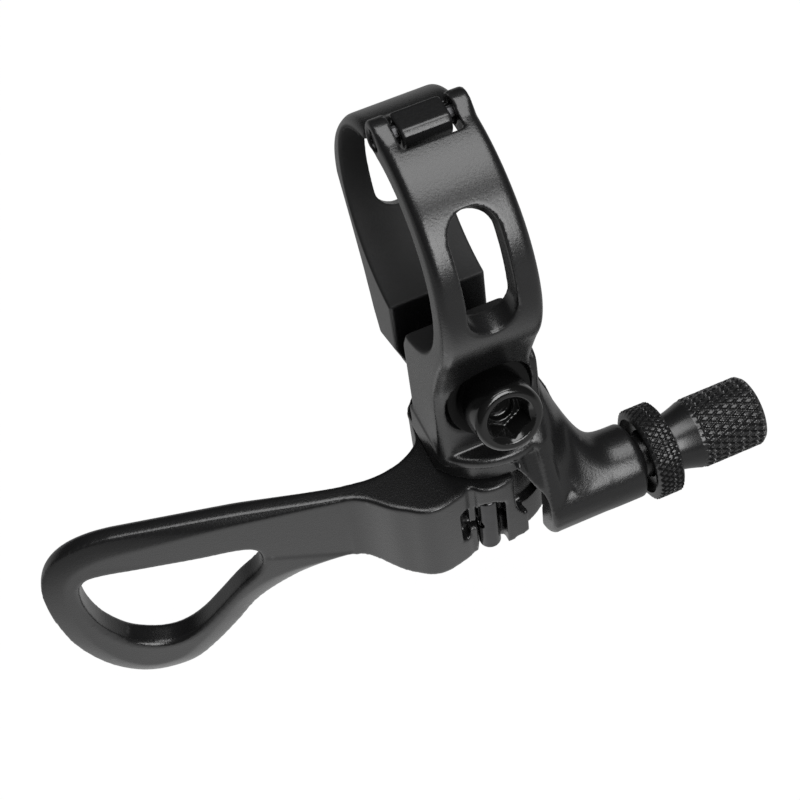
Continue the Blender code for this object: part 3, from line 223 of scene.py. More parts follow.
def rod(name, radius, start, end, sides):
    """A round bar between two points."""
    start = Vector(start)
    end = Vector(end)
    bm = bmesh.new()
    length = (end - start).length
    bmesh.ops.create_cone(
        bm, cap_ends=True, segments=sides, radius1=radius, radius2=radius, depth=length
    )
    turn = (end - start).to_track_quat("Z", "Y").to_matrix().to_4x4()
    bmesh.ops.transform(bm, matrix=Matrix.Translation((start + end) / 2) @ turn, verts=bm.verts)
    return closed(name, bm)


def block(name, low, high):
    """A box between its lowest and its highest corner."""
    bm = bmesh.new()
    bmesh.ops.create_cube(bm, size=1.0)
    for vert in bm.verts:
        vert.co = Vector(low[i] + (vert.co[i] + 0.5) * (high[i] - low[i]) for i in range(3))
    return closed(name, bm)


def turned(name, profile, matrix, sides=96):
    """A lathe-turned form about Z, from pairs of radius and height, moved by a matrix."""
    bm = bmesh.new()
    columns = []
    for i in range(sides):
        turn = 2 * math.pi * i / sides
        points = [(r * math.cos(turn), r * math.sin(turn), z) for r, z in profile]
        columns.append([bm.verts.new(point) for point in points])
    last = len(profile) - 1
    whole = profile[0][0] > 0.0 or profile[last][0] > 0.0
    for i in range(sides):
        here = columns[i]
        after = columns[(i + 1) % sides]
        for k in range(last + (1 if whole else 0)):
            j = (k + 1) % (last + 1)
            bm.faces.new((here[k], after[k], after[j], here[j]))
    bmesh.ops.remove_doubles(bm, verts=bm.verts, dist=1e-7)
    bmesh.ops.dissolve_degenerate(bm, edges=bm.edges, dist=1e-7)
    bmesh.ops.transform(bm, matrix=matrix, verts=bm.verts)
    return closed(name, bm)


def applied(piece):
    """Gives a piece the form its modifiers make."""
    bpy.context.view_layer.update()
    graph = bpy.context.evaluated_depsgraph_get()
    mesh = bpy.data.meshes.new_from_object(piece.evaluated_get(graph))
    piece.modifiers.clear()
    piece.data = mesh
    return piece


def carved(piece, tools, operation="DIFFERENCE"):
    """Cuts tools out of a piece, or joins them to it, and clears the tools away."""
    for tool in tools:
        step = piece.modifiers.new(tool.name, "BOOLEAN")
        step.operation = operation
        step.solver = "MANIFOLD"
        step.object = tool
    applied(piece)
    for tool in tools:
        bpy.data.objects.remove(tool)
    return piece


def machined(piece, add=(), cut=(), grain=0.0002, passes=4):
    """Joins and cuts, then breaks every edge a little, as a tumbled or blasted part has it."""
    carved(piece, add, "UNION")
    carved(piece, cut)
    skin = piece.modifiers.new("skin", "REMESH")
    skin.mode = "VOXEL"
    skin.voxel_size = grain * 1
    skin.use_smooth_shade = True
    worn = piece.modifiers.new("worn", "SMOOTH")
    worn.factor = 0.5
    worn.iterations = passes
    return applied(piece)


def tilted(across, up):
    """Y and Z of a point given along and above the tilted clamp bolt's direction."""
    return (across * tilt_cos + up * tilt_sin, up * tilt_cos - across * tilt_sin)


def on_bolt(along, x=BOLT_X, rise=0.0):
    """A point on the clamp bolt's axis, or beside and above it."""
    return (x, *tilted(along, rise - BOLT_DROP))


def band_half_width(y, z):
    """Half the band's width, narrower at its top."""
    share = min(1.0, max(0.0, (BAND_RADIUS - z) / (BAND_RADIUS * 1.6)))
    return HALF_SHOULDER + (HALF_BAND - HALF_SHOULDER) * share


def band_slot(name, width, start, end):
    """Cutter for a round-ended slot through the band, between two angles."""
    radii = (BAR_RADIUS - 0.002, BAND_RADIUS + 0.002)
    middle_radius = sum(radii) / 2
    half_length = middle_radius * (end - start) / 2
    half = width / 2
    straight = half_length - half
    sides = 12
    outline = arc((straight, 0), half, -math.pi / 2, math.pi / 2, 16)
    outline += [(straight * (1 - k / sides), half) for k in range(1, 2 * sides)]
    outline += arc((-straight, 0), half, math.pi / 2, math.pi * 1.5, 16)
    outline += [(straight * (k / sides - 1), -half) for k in range(1, 2 * sides)]
    rings = []
    for radius in radii:
        turns = [(start + end) / 2 + length / middle_radius for length, x in outline]
        rings.append(
            [
                (x, radius * math.cos(turn), radius * math.sin(turn))
                for turn, (length, x) in zip(turns, outline)
            ]
        )
    return loft(name, rings)


def body_plate():
    """Band arch and bolt block as one outline seen along the bar."""
    bore_end = math.radians(-105.0)
    neck_z = BAR_RADIUS * math.sin(bore_end) - (BAND_RADIUS - BAR_RADIUS)
    shoulder = math.radians(-155.0)
    shoulder_y = BAND_RADIUS * math.cos(shoulder)
    shoulder_z = BAND_RADIUS * math.sin(shoulder)
    low_z = boss_z + COLLAR_RISE / 2
    nose_end = HINGE_ANGLE - knuckle_turn
    nose = arc((hinge_y, hinge_z), KNUCKLE_RADIUS, math.radians(118.0), nose_end, 24)[:-1]
    bore = arc((0, 0), BAR_RADIUS, HINGE_ANGLE - knuckle_reach, bore_end + 2 * math.pi, 96)
    feet = [
        (REAR_FACE_Y, neck_z),
        (REAR_FACE_Y, low_z),
        (FRONT_FACE_Y, low_z),
        (FRONT_FACE_Y, neck_z - 0.0022),
    ]
    bulge = (FRONT_FACE_Y - 0.0004, neck_z + 0.0006)
    lean = (shoulder_y + 0.0012, shoulder_z - 0.0026)
    waist = flowing([feet[3], bulge, lean, (shoulder_y, shoulder_z)], 12)[1:-1]
    crown = HINGE_ANGLE + math.radians(9.0)
    outer = arc((0, 0), BAND_RADIUS, shoulder + 2 * math.pi, crown, 72)
    outline = list(reversed(nose + bore + feet + waist + outer))
    roundings = []
    for y, z in outline:
        on_bore = abs(math.hypot(y, z) - BAR_RADIUS) < FIT
        at_hinge = math.hypot(y - hinge_y, z - hinge_z) < KNUCKLE_RADIUS + FIT
        roundings.append(BORE_ROUNDING if on_bore or at_hinge else BAND_ROUNDING)
    return rounded_plate("body", outline, band_half_width, roundings), neck_z


def boss_and_collar():
    """The round boss over the lever's hub and its rim, trimmed flush with the block's sides."""
    low = collar_z - COLLAR_THICKNESS
    profile = [
        (0.0, collar_z),
        (COLLAR_RADIUS - EDGE, collar_z),
        (COLLAR_RADIUS, collar_z - EDGE),
        (COLLAR_RADIUS, low),
        (BOSS_RADIUS, low - EDGE),
        (BOSS_RADIUS, boss_z - EDGE),
        (0.0, boss_z - EDGE),
    ]
    boss = turned("boss", profile, Matrix.Translation((PIVOT_X, PIVOT_Y, 0)), 128)
    trims = [
        block(
            "left_trim",
            (PIVOT_X - 2 * COLLAR_RADIUS, -0.03, boss_z - 0.001),
            (-HALF_BAND - FIT, 0.01, collar_z + 0.001),
        ),
        block(
            "right_trim",
            (HALF_BAND - BAND_ROUNDING, -0.03, boss_z + COLLAR_RISE * 0.35),
            (PIVOT_X + 2 * COLLAR_RADIUS, 0.01, collar_z + 0.001),
        ),
    ]
    return carved(boss, trims)


def squared_ring(upper, lower, count=96):
    """Points round a section, each half of it square at a high power and round at 2."""
    ring = []
    for i in range(count):
        c = math.cos(2 * math.pi * i / count)
        s = math.sin(2 * math.pi * i / count)
        power = 2 / (upper if s > 0 else lower)
        ring.append((math.copysign(abs(c) ** power, c), math.copysign(abs(s) ** power, s)))
    return ring


def trend(*points):
    """A smooth course of one value over another, through given pairs in millimetres."""
    courses, values = zip(*flowing(points, 12))
    return lambda x: float(np.interp(x * 1000, courses, values)) / 1000


# The web's lower edge along X, and its front face up Z near the hub and out by the tube
web_low = trend(
    (1.3, -26.1), (1.8, -26.9), (2.4, -28.0), (3.05, -29.6), (3.6, -30.8), (4.0, -31.8),
    (4.25, -33.4), (4.38, -35.4), (4.48, -37.5), (4.6, -39.1), (4.8, -39.4), (5.6, -39.4),
)
lip_front = trend(
    (-40.0, -15.25), (-37.0, -15.25), (-35.0, -15.2), (-33.4, -14.8), (-32.2, -14.15),
    (-31.2, -13.6), (-30.0, -13.2), (-28.0, -12.85), (-26.0, -12.45), (-25.0, -12.0),
    (-24.0, -11.3), (-22.8, -10.3), (-21.5, -9.5), (-20.0, -9.2), (-17.0, -9.15),
    (-14.0, -9.15),
)
shoulder_front = trend(
    (-40.0, -15.2), (-37.0, -15.2), (-35.2, -15.2), (-33.6, -14.9), (-32.2, -14.1),
    (-30.5, -12.7), (-28.5, -11.1), (-26.5, -9.8), (-24.0, -9.0), (-20.0, -8.9), (-14.0, -8.9),
)


def web_front(x, z):
    """Y of the web's front face, which hides behind the collar's rim where it starts."""
    block_y = FRONT_FACE_Y + GAP / 2
    behind_rim = ease(z, RIM_LOW_Z, RIM_TOP_Z) * (1 - ease(x, 0.0018, 0.0042))
    front = lip_front(z) + (block_y - lip_front(z)) * behind_rim
    return front + (shoulder_front(z) - front) * ease(x, 0.0048, 0.0090)


def web_section(x, side, last):
    """The web cut across at one X: square by the block, then ever closer to the tube's circle."""
    share = min(1.0, (x - side + 0.0008) / (last - side + 0.0008))
    fall = 1 - (1 - share) ** WEB_FALL_POWER if x > side else 0.0
    top = (boss_z + WEB_RISE) * (1 - fall) + (tube_z + TUBE_RADIUS) * fall
    low = web_low(x)
    middle = low + TUBE_RADIUS * (0.25 + 0.75 * ease(x, 0.0034, 0.0049))
    back_y = REAR_FACE_Y - GAP / 2
    back = back_y + (TUBE_Y + TUBE_RADIUS - back_y) * ease(x, side - 0.0006, last - 0.0019)
    upper = WEB_SQUARE_POWER - 3.0 * ease(x, side, side + 0.0030)
    lower = WEB_SQUARE_POWER - 4.0 * ease(x, 0.0038, 0.0049)
    turned_share = ease(x, 0.0075, last)
    ring = []
    for (u, v), (round_u, round_v) in zip(squared_ring(upper, lower), squared_ring(2, 2)):
        z = middle + v * (top - middle if v > 0 else middle - low)
        front = web_front(x, z)
        undercut = WEB_UNDERCUT * ease(u, -1.0, -0.75) * (1 - ease(x, 0.0050, 0.0070))
        y = (front + back) / 2 + u * (back - front) / 2
        y += (TUBE_Y + TUBE_RADIUS * round_u - y) * turned_share
        z += (tube_z + TUBE_RADIUS * round_v - z) * turned_share
        ring.append((x + undercut, y, z))
    return ring


def neck_to_tube():
    """The cast web: a lip in front of the hub, a curtain off the block, then the round tube."""
    side = HALF_BAND + 0.0004
    last = TUBE_END - 0.0012
    places = [WEB_START + (side - WEB_START) * k / 26 for k in range(27)]
    places += [side + 0.0003 + (last - side - 0.0003) * k / 36 for k in range(37)]
    rings = [web_section(x, side, last) for x in places]
    for x, radius in ((TUBE_END - 0.0003, TUBE_RADIUS), (TUBE_END, TUBE_RADIUS - 0.0003)):
        ring = [(x, TUBE_Y + radius * u, tube_z + radius * v) for u, v in squared_ring(2, 2)]
        rings.append(ring)
    return loft("web", rings)


def upright_slot(half, low, high, count=24):
    """A counterclockwise outline with round ends."""
    top = arc((0, high - half), half, 0, math.pi, count)
    return top + arc((0, low + half), half, math.pi, 2 * math.pi, count)


seat_along = (FRONT_FACE_Y + BOLT_DROP * tilt_sin) / tilt_cos + SEAT_STEP
strap_face_along = (-REAR_FACE_Y + BOLT_DROP * tilt_sin) / tilt_cos
hinge_along = hinge_y * tilt_cos - hinge_z * tilt_sin
bolt_room = (strap_face_along - hinge_along) * math.tan(STRAP_OPENING)
body, neck_z = body_plate()
tube_turn = Matrix.Translation((0, TUBE_Y, tube_z)) @ Matrix.Rotation(math.pi / 2, 4, "Y")
pivot_axis = Matrix.Translation((PIVOT_X, PIVOT_Y, 0))
# The turned tube lies just inside the web, which carries it on to the end
inner_tube = TUBE_RADIUS - 0.00006
tube_profile = [
    (0.0, TUBE_END - 0.004),
    (inner_tube, TUBE_END - 0.004),
    (inner_tube, TUBE_START + 0.0004),
    (inner_tube - 0.0004, TUBE_START),
    (0.0, TUBE_START),
]
bolt_slot = upright_slot(BOLT_HOLE_RADIUS, -BOLT_HOLE_RADIUS, BOLT_HOLE_RADIUS + bolt_room)
bolt_way = loft(
    "bolt_way",
    [
        [on_bolt(along, BOLT_X - x, up) for x, up in bolt_slot]
        for along in (seat_along - 0.001, strap_face_along + 0.001)
    ],
)
spigot_z = lever_top_z - GAP
half_notch = HALF_TONGUE + TONGUE_ROOM
clamp_body = machined(
    body,
    add=(boss_and_collar(), turned("tube", tube_profile, tube_turn), neck_to_tube()),
    cut=(
        band_slot("front_slot", FRONT_SLOT_WIDTH, FRONT_SLOT_START, FRONT_SLOT_END),
        block(
            "hinge_notch",
            (-half_notch, hinge_y - KNUCKLE_RADIUS - NOTCH_ROOM, BAR_RADIUS - 0.003),
            (half_notch, hinge_y + 0.006, BAND_RADIUS + 0.004),
        ),
        block("strap_room", (-0.02, REAR_FACE_Y, boss_z + REAR_PLATE), (0.02, 0.02, neck_z)),
        rod("pin_hole", PIN_RADIUS + FIT, (-0.01, hinge_y, hinge_z), (0.01, hinge_y, hinge_z), 40),
        rod("pocket", WASHER_RADIUS + GAP, on_bolt(seat_along - 0.014), on_bolt(seat_along), 128),
        bolt_way,
        rod(
            "pivot_hole",
            PIVOT_HOLE_RADIUS,
            (PIVOT_X, PIVOT_Y, spigot_z - 0.001),
            (PIVOT_X, PIVOT_Y, pivot_tip_z + FIT),
            48,
        ),
        rod(
            "hub_room",
            HUB_ROOM_RADIUS,
            (PIVOT_X, PIVOT_Y, boss_z),
            (PIVOT_X, PIVOT_Y, boss_z - 0.02),
            160,
        ),
        rod("cable_bore", CABLE_BORE_RADIUS, (0, TUBE_Y, tube_z), (TUBE_END, TUBE_Y, tube_z), 40),
        rod(
            "thread_bore",
            THREAD_RADIUS + FIT,
            (TUBE_END - THREAD_BORE_DEPTH, TUBE_Y, tube_z),
            (TUBE_END + 0.002, TUBE_Y, tube_z),
            64,
        ),
    ),
)
clamp_body.name = "dressed_body"


class Reading:
    """A value read off a surface; arithmetic on it adds the nodes that do the sum."""

    def __init__(self, finish, socket):
        self.finish = finish
        self.socket = socket

    def with_value(self, operation, first, second):
        return self.finish.node("ShaderNodeMath", {"operation": operation}, {0: first, 1: second})

    def __add__(self, other):
        return self.with_value("ADD", self, other)

    def __sub__(self, other):
        return self.with_value("SUBTRACT", self, other)

    def __rsub__(self, other):
        return self.with_value("SUBTRACT", other, self)

    def __mul__(self, other):
        return self.with_value("MULTIPLY", self, other)

    __radd__ = __add__
    __rmul__ = __mul__


class Finish:
    """One surface finish, whose values over the surface are made from nodes."""

    def __init__(self, name):
        self.material = bpy.data.materials.new(name)
        self.material.use_nodes = True
        self.tree = self.material.node_tree
        self.shader = self.tree.nodes["Principled BSDF"]

    def feed(self, socket, value):
        """Links a reading to a socket, or sets the socket to a number or a colour."""
        if isinstance(value, Reading):
            self.tree.links.new(value.socket, socket)
        else:
            socket.default_value = value

    def node(self, kind, settings=None, inputs=None, output=0):
        """Adds a node, settings first and sockets after, and reads one of its outputs."""
        made = self.tree.nodes.new(kind)
        for key, value in (settings or {}).items():
            if key == "stops":
                while len(made.color_ramp.elements) < len(value):
                    made.color_ramp.elements.new(0.5)
                for element, (position, colour) in zip(made.color_ramp.elements, value):
                    element.position = position
                    element.color = colour
            else:
                setattr(made, key, value)
        for key, value in (inputs or {}).items():
            self.feed(made.inputs[key], value)
        return Reading(self, made.outputs[output])

    def surface(self, **values):
        """Feeds the shader's own sockets and gives the finished material."""
        for key, value in values.items():
            self.feed(self.shader.inputs[key.replace("_", " ")], value)
        return self.material


def noise(finish, where, scale, detail=3.0):
    """A cloudy value over the surface; the scale counts its blotches in a metre."""
    return finish.node(
        "ShaderNodeTexNoise", {}, {"Vector": where, "Scale": scale, "Detail": detail}
    )


BORE_DULLNESS = 0.42
# Lighter black painted on convex edges as a painted highlight
PAINTED_EDGE_HIGHLIGHT = (0.045, 0.045, 0.046, 1.0)
OBJECT_PLACE = 3
POINTINESS = 7


def black_anodised(name, dark, light, roughness, tooth=0.000016):
    """Satin black skin with a fine blasted tooth, a faint mottle and a painted highlight on its
    edges.

    The bore that grips the handlebar stays duller than the rest.
    """
    finish = Finish(name)
    where = finish.node("ShaderNodeTexCoord", output=OBJECT_PLACE)
    across = finish.node(
        "ShaderNodeVectorMath", {"operation": "MULTIPLY"}, {0: where, 1: (0.0, 1.0, 1.0)}
    )
    from_bar = finish.node("ShaderNodeVectorMath", {"operation": "LENGTH"}, {0: across}, output=1)
    dull = finish.node(
        "ShaderNodeMapRange",
        {},
        {
            "Value": from_bar,
            "From Min": BAR_RADIUS + 0.0001,
            "From Max": BAR_RADIUS + 0.0004,
            "To Min": BORE_DULLNESS,
            "To Max": 0.0,
        },
    )
    tooth_size = noise(finish, where, 4200.0, 4.0)
    mottle = noise(finish, where, 420.0, 2.0)
    cloud = noise(finish, where, 75.0, 2.0)
    corner = finish.node("ShaderNodeNewGeometry", output=POINTINESS)
    edge = finish.node(
        "ShaderNodeMapRange",
        {"interpolation_type": "SMOOTHSTEP"},
        {"Value": corner, "From Min": 0.515, "From Max": 0.585, "To Min": 0.0, "To Max": 1.0},
    )
    blend = mottle * 0.45 + cloud * 0.25 + tooth_size * 0.3
    colour = finish.node(
        "ShaderNodeMix",
        {"data_type": "RGBA"},
        {"Factor": blend, 6: (*dark, 1.0), 7: (*light, 1.0)},
        output=2,
    )
    # Convex edges are painted lighter: a painted highlight along the edges, with their roughness a
    # little lower.
    edge_highlighted = finish.node(
        "ShaderNodeMix",
        {"data_type": "RGBA"},
        {"Factor": edge * 0.6, 6: colour, 7: PAINTED_EDGE_HIGHLIGHT},
        output=2,
    )
    bump = finish.node(
        "ShaderNodeBump",
        {},
        {"Strength": 1.0, "Distance": tooth, "Height": tooth_size + mottle * 0.8},
    )
    uneven = (tooth_size - 0.5) * 0.10 + (cloud - 0.5) * 0.06
    return finish.surface(
        Base_Color=edge_highlighted,
        Metallic=0.15,
        Specular_IOR_Level=0.62,
        Roughness=uneven + dull - edge * 0.05 + roughness,
        Normal=bump,
    )


def wear(item, material):
    """Gives a piece one finish all over."""
    item.data.materials.clear()
    item.data.materials.append(material)


blasted_black = black_anodised(
    "blasted_black", (0.0075, 0.0075, 0.0078), (0.0145, 0.0145, 0.015), 0.28
)
wear(clamp_body, blasted_black)
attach(clamp_body, "mount")
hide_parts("clamp_body")

# Clamp strap: the hinged half of the band, with a tongue that turns on the hinge pin and a threaded
# lug for the clamp bolt. It is machined and anodised like the body.

STRAP_TOP_WALL = 0.0011
STRAP_WINDOW_WIDTH = 0.0044
STRAP_WINDOW_START = math.radians(-33.0)
STRAP_WINDOW_END = math.radians(38.0)
STRAP_THREAD_RADIUS = 0.00265
LUG_THICKNESS = 0.0044
LUG_RADIUS = 0.0045

shoulder_y = hinge_y + KNUCKLE_RADIUS + GAP
split_y = -REAR_FACE_Y
lug_along = strap_face_along + LUG_THICKNESS


def strap_plate():
    """The strap's outline seen along the bar, from its shoulder down to its lug."""
    start = math.acos(shoulder_y / (BAR_RADIUS + STRAP_TOP_WALL))
    outer = []
    for y, z in arc((0, 0), BAND_RADIUS, start, BOLT_TILT * -0.45, 60):
        thin = ease(math.atan2(z, y), math.radians(-15.0), math.radians(40.0))
        scale = 1 - (BAND_RADIUS - BAR_RADIUS - STRAP_TOP_WALL) * thin / BAND_RADIUS
        outer.append((y * scale, z * scale))
    lug_low = -BOLT_DROP - LUG_RADIUS
    waist = flowing(
        [
            outer[-1],
            tilted(BAND_RADIUS * 0.93, -BAND_RADIUS * 0.55),
            tilted(lug_along, -BAND_RADIUS * 0.95),
        ],
        14,
    )[1:]
    foot_z = (lug_low - split_y * tilt_sin) / tilt_cos
    bore_ends = (-math.acos(split_y / BAR_RADIUS), math.acos(shoulder_y / BAR_RADIUS))
    bore = arc((0, 0), BAR_RADIUS, *bore_ends, 80)
    outline = [*outer, *waist, tilted(lug_along, lug_low), (split_y, foot_z), *bore]
    outline = list(reversed(outline))
    roundings = []
    for y, z in outline:
        inside = abs(math.hypot(y, z) - BAR_RADIUS) < FIT or abs(y - split_y) < FIT
        roundings.append(BORE_ROUNDING if inside else BAND_ROUNDING)

    def half_width(y, z):
        """Half the strap's width, which grows evenly from its top to its lug."""
        share = min(1.0, max(0.0, (BAND_RADIUS - z) / (2 * BAND_RADIUS)))
        return HALF_SHOULDER + (HALF_BAND - HALF_SHOULDER) * share

    return rounded_plate("strap", outline, half_width, roundings)


def hinge_tongue():
    """Flat-topped tongue with broken corners, round below where it clears the body."""
    flat_z = hinge_z + KNUCKLE_RADIUS * 0.72
    back_y = hinge_y - KNUCKLE_RADIUS
    join_y = shoulder_y + 0.0027 * 0.6
    join_radius = BAR_RADIUS + STRAP_TOP_WALL
    turn_end = HINGE_ANGLE + knuckle_turn
    under = arc((hinge_y, hinge_z), KNUCKLE_RADIUS, math.pi, turn_end, 12)
    bore_radius = BAR_RADIUS + GAP / 3
    bore_end = math.acos(join_y / bore_radius)
    under += arc((0, 0), bore_radius, HINGE_ANGLE + knuckle_reach, bore_end, 12)[1:]
    outline = [
        (join_y, join_radius * math.sin(math.acos(join_y / join_radius)) - GAP),
        (hinge_y + KNUCKLE_RADIUS * 0.6, flat_z),
        (back_y + KNUCKLE_RADIUS * 0.25, flat_z),
        (back_y, flat_z - KNUCKLE_RADIUS * 0.25),
        *under,
    ]
    edges = [BORE_ROUNDING] * len(outline)
    return rounded_plate("tongue", outline, lambda y, z: HALF_TONGUE, edges)


def lug_end():
    """Cutter that rounds the strap's lower end about the bolt."""
    side = HALF_BAND + 0.004
    corner = -BOLT_DROP + LUG_RADIUS * 0.75
    deep = -BOLT_DROP - 0.012
    curve = arc((0, 0), LUG_RADIUS, math.radians(188.0), math.radians(352.0), 48)
    inner = [(x + BOLT_X, z - BOLT_DROP) for x, z in curve]
    outline = [(-side, corner), (-side, deep), (side, deep), (side, corner)]
    outline += [(HALF_BAND + 0.0001, corner), *reversed(inner), (-HALF_BAND - 0.0001, corner)]
    rings = [
        [(x, *tilted(along, up)) for x, up in reversed(outline)]
        for along in (strap_face_along - 0.012, lug_along + 0.004)
    ]
    return loft("lug_end", rings)


clamp_strap = machined(
    strap_plate(),
    add=(hinge_tongue(),),
    cut=(
        band_slot("strap_window", STRAP_WINDOW_WIDTH, STRAP_WINDOW_START, STRAP_WINDOW_END),
        rod(
            "strap_thread",
            STRAP_THREAD_RADIUS,
            on_bolt(strap_face_along - 0.006),
            on_bolt(lug_along + 0.002),
            64,
        ),
        rod(
            "tongue_hole",
            PIN_RADIUS + FIT,
            (-0.01, hinge_y, hinge_z),
            (0.01, hinge_y, hinge_z),
            40,
        ),
        lug_end(),
    ),
    grain=0.00014,
    passes=5,
)
clamp_strap.name = "dressed_strap"
wear(clamp_strap, blasted_black)
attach(clamp_strap, "strap")
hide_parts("clamp_strap")

# Hinge pin: a ground steel pin pressed into the body's two ears and through the tongue. Only its
# dark ends show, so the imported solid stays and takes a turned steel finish.


def turned_steel(name, dark, light, roughness, axis):
    """Steel with fine rings left by the lathe about an axis, X or Z, and a little oil haze."""
    finish = Finish(name)
    where = finish.node("ShaderNodeTexCoord", output=OBJECT_PLACE)
    stretch = (30.0, 30.0, 9000.0) if axis == "Z" else (9000.0, 30.0, 30.0)
    along = finish.node("ShaderNodeVectorMath", {"operation": "MULTIPLY"}, {0: where, 1: stretch})
    rings = noise(finish, along, 1.0, 2.0)
    haze = noise(finish, where, 900.0, 3.0)
    colour = finish.node(
        "ShaderNodeMix",
        {"data_type": "RGBA"},
        {"Factor": haze * 0.6 + rings * 0.4, 6: (*dark, 1.0), 7: (*light, 1.0)},
        output=2,
    )
    bump = finish.node(
        "ShaderNodeBump", {}, {"Strength": 0.35, "Distance": 0.000006, "Height": rings}
    )
    return finish.surface(
        Base_Color=colour,
        Metallic=1.0,
        Roughness=roughness + (haze - 0.5) * 0.12,
        Normal=bump,
    )


blackened_pin = turned_steel(
    "blackened_pin", (0.035, 0.035, 0.037), (0.07, 0.07, 0.072), 0.34, "X"
)
wear(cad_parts["hinge_pin"], blackened_pin)

# Clamp bolt and washer: a tall socket-head bolt, turned from steel and blacked to a deep gloss,
# with a rolled chamfer round its hexagon socket. It pulls the strap's lug towards the body.

HEAD_RADIUS = 0.00355
HEAD_HEIGHT = 0.0056
SHANK_RADIUS = 0.0025
SOCKET_WIDTH = 0.0040
SOCKET_DEPTH = 0.0030
BOLT_THREAD_PITCH = 0.0008
BOLT_THREAD_DEPTH = 0.0003
PLAIN_SHANK = 0.0012
WASHER_THICKNESS = 0.0013
WASHER_EDGE = 0.00022

bolt_turn = Matrix.Translation((BOLT_X, *tilted(0.0, -BOLT_DROP))) @ Matrix.Rotation(
    math.pi / 2 - BOLT_TILT, 4, "X"
)
washer_along = seat_along - FIT - WASHER_THICKNESS
head_along = washer_along - FIT
head_front = head_along - HEAD_HEIGHT
socket_floor = head_front + SOCKET_DEPTH
top = -head_front
base = -head_along
tip = -(lug_along - GAP)
ring_radius = SOCKET_WIDTH / math.sqrt(3)
head_profile = [
    (0.0, top),
    (HEAD_RADIUS - 0.00065, top),
    (HEAD_RADIUS - 0.00042, top - 0.00004),
    (HEAD_RADIUS - 0.00018, top - 0.00018),
    (HEAD_RADIUS - 0.00004, top - 0.00042),
    (HEAD_RADIUS, top - 0.00065),
    (HEAD_RADIUS, base + 0.0003),
    (HEAD_RADIUS - 0.0002, base),
    (SHANK_RADIUS, base),
]
half_pitch = BOLT_THREAD_PITCH / 2
for row in range(int((base - PLAIN_SHANK - tip) / half_pitch)):
    depth = BOLT_THREAD_DEPTH if row % 2 else 0.0
    head_profile.append((SHANK_RADIUS - depth, base - PLAIN_SHANK - row * half_pitch))
head_profile += [(SHANK_RADIUS - 0.0005, tip), (0.0, tip)]


def hexagon(name, width, start, end):
    """A six-sided cutter, as wide across its flats as the key."""
    return rod(name, width / math.sqrt(3), start, end, 6)


def cone(name, wide, narrow, start, end, sides=96):
    """A tapered cutter between two points."""
    start = Vector(start)
    end = Vector(end)
    bm = bmesh.new()
    length = (end - start).length
    bmesh.ops.create_cone(
        bm, cap_ends=True, segments=sides, radius1=wide, radius2=narrow, depth=length
    )
    turn = (end - start).to_track_quat("Z", "Y").to_matrix().to_4x4()
    bmesh.ops.transform(bm, matrix=Matrix.Translation((start + end) / 2) @ turn, verts=bm.verts)
    return closed(name, bm)


clamp_bolt = machined(
    turned("bolt", head_profile, bolt_turn, 128),
    cut=(
        hexagon("bolt_socket", SOCKET_WIDTH, on_bolt(head_front - 0.001), on_bolt(socket_floor)),
        cone(
            "socket_lead",
            ring_radius + 0.00045,
            ring_radius - 0.0003,
            on_bolt(head_front - 0.0002),
            on_bolt(head_front + 0.00055),
        ),
        rod("drill", SOCKET_WIDTH * 0.36, on_bolt(head_front), on_bolt(socket_floor + 0.0008), 64),
    ),
    grain=0.0001,
    passes=2,
)
clamp_bolt.name = "dressed_bolt"
washer_profile = [
    (WASHER_RADIUS - WASHER_EDGE, -washer_along),
    (WASHER_RADIUS - WASHER_EDGE * 0.3, -washer_along - WASHER_EDGE * 0.3),
    (WASHER_RADIUS, -washer_along - WASHER_EDGE),
    (WASHER_RADIUS, -washer_along - WASHER_THICKNESS),
    (SHANK_RADIUS + GAP, -washer_along - WASHER_THICKNESS),
    (SHANK_RADIUS + GAP, -washer_along),
]
clamp_washer = turned("dressed_washer", washer_profile, bolt_turn, 128)
clamp_washer.data.set_sharp_from_angle(angle=math.radians(40))


def gloss_black(name, tone, roughness, metallic, shine=0.5):
    """Blacked steel under a thin oil film: dark, smooth and sharply reflecting."""
    finish = Finish(name)
    where = finish.node("ShaderNodeTexCoord", output=OBJECT_PLACE)
    film = noise(finish, where, 600.0, 3.0)
    dust = noise(finish, where, 4200.0, 2.0)
    colour = finish.node(
        "ShaderNodeMix",
        {"data_type": "RGBA"},
        {"Factor": film, 6: (tone * 0.8, tone * 0.8, tone * 0.8, 1.0), 7: (tone, tone, tone, 1.0)},
        output=2,
    )
    bump = finish.node(
        "ShaderNodeBump", {}, {"Strength": 0.2, "Distance": 0.000004, "Height": dust}
    )
    return finish.surface(
        Base_Color=colour,
        Metallic=metallic,
        Specular_IOR_Level=shine,
        Roughness=roughness + (film - 0.5) * 0.06,
        Normal=bump,
    )


bolt_black = gloss_black("bolt_black", 0.008, 0.14, 0.0, 0.6)
washer_black = gloss_black("washer_black", 0.008, 0.4, 0.0, 0.12)
for item, node, finish in (
    (clamp_bolt, "clamp_bolt", bolt_black),
    (clamp_washer, "clamp_washer", washer_black),
):
    wear(item, finish)
    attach(item, "bolt")
    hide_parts(node)

# Pivot bolt, spacer, cover and the two ball bearings: turned and ground steel inside the hub. The
# bolt's head and the thin black cover close the hub from below; the rest shows only past the boss.

PIVOT_HEAD_RADIUS = 0.0042
PIVOT_HEAD_HEIGHT = 0.0020
PIVOT_SOCKET_WIDTH = 0.0030
PIVOT_SOCKET_DEPTH = 0.0016
PIVOT_THREAD_RADIUS = 0.0020
BEARING_SPACER_LENGTH = 0.0014
BEARING_BORE_RADIUS = 0.0025
BEARING_RADIUS = 0.0055
BEARING_WIDTH = 0.0040
COVER_THICKNESS = 0.0016

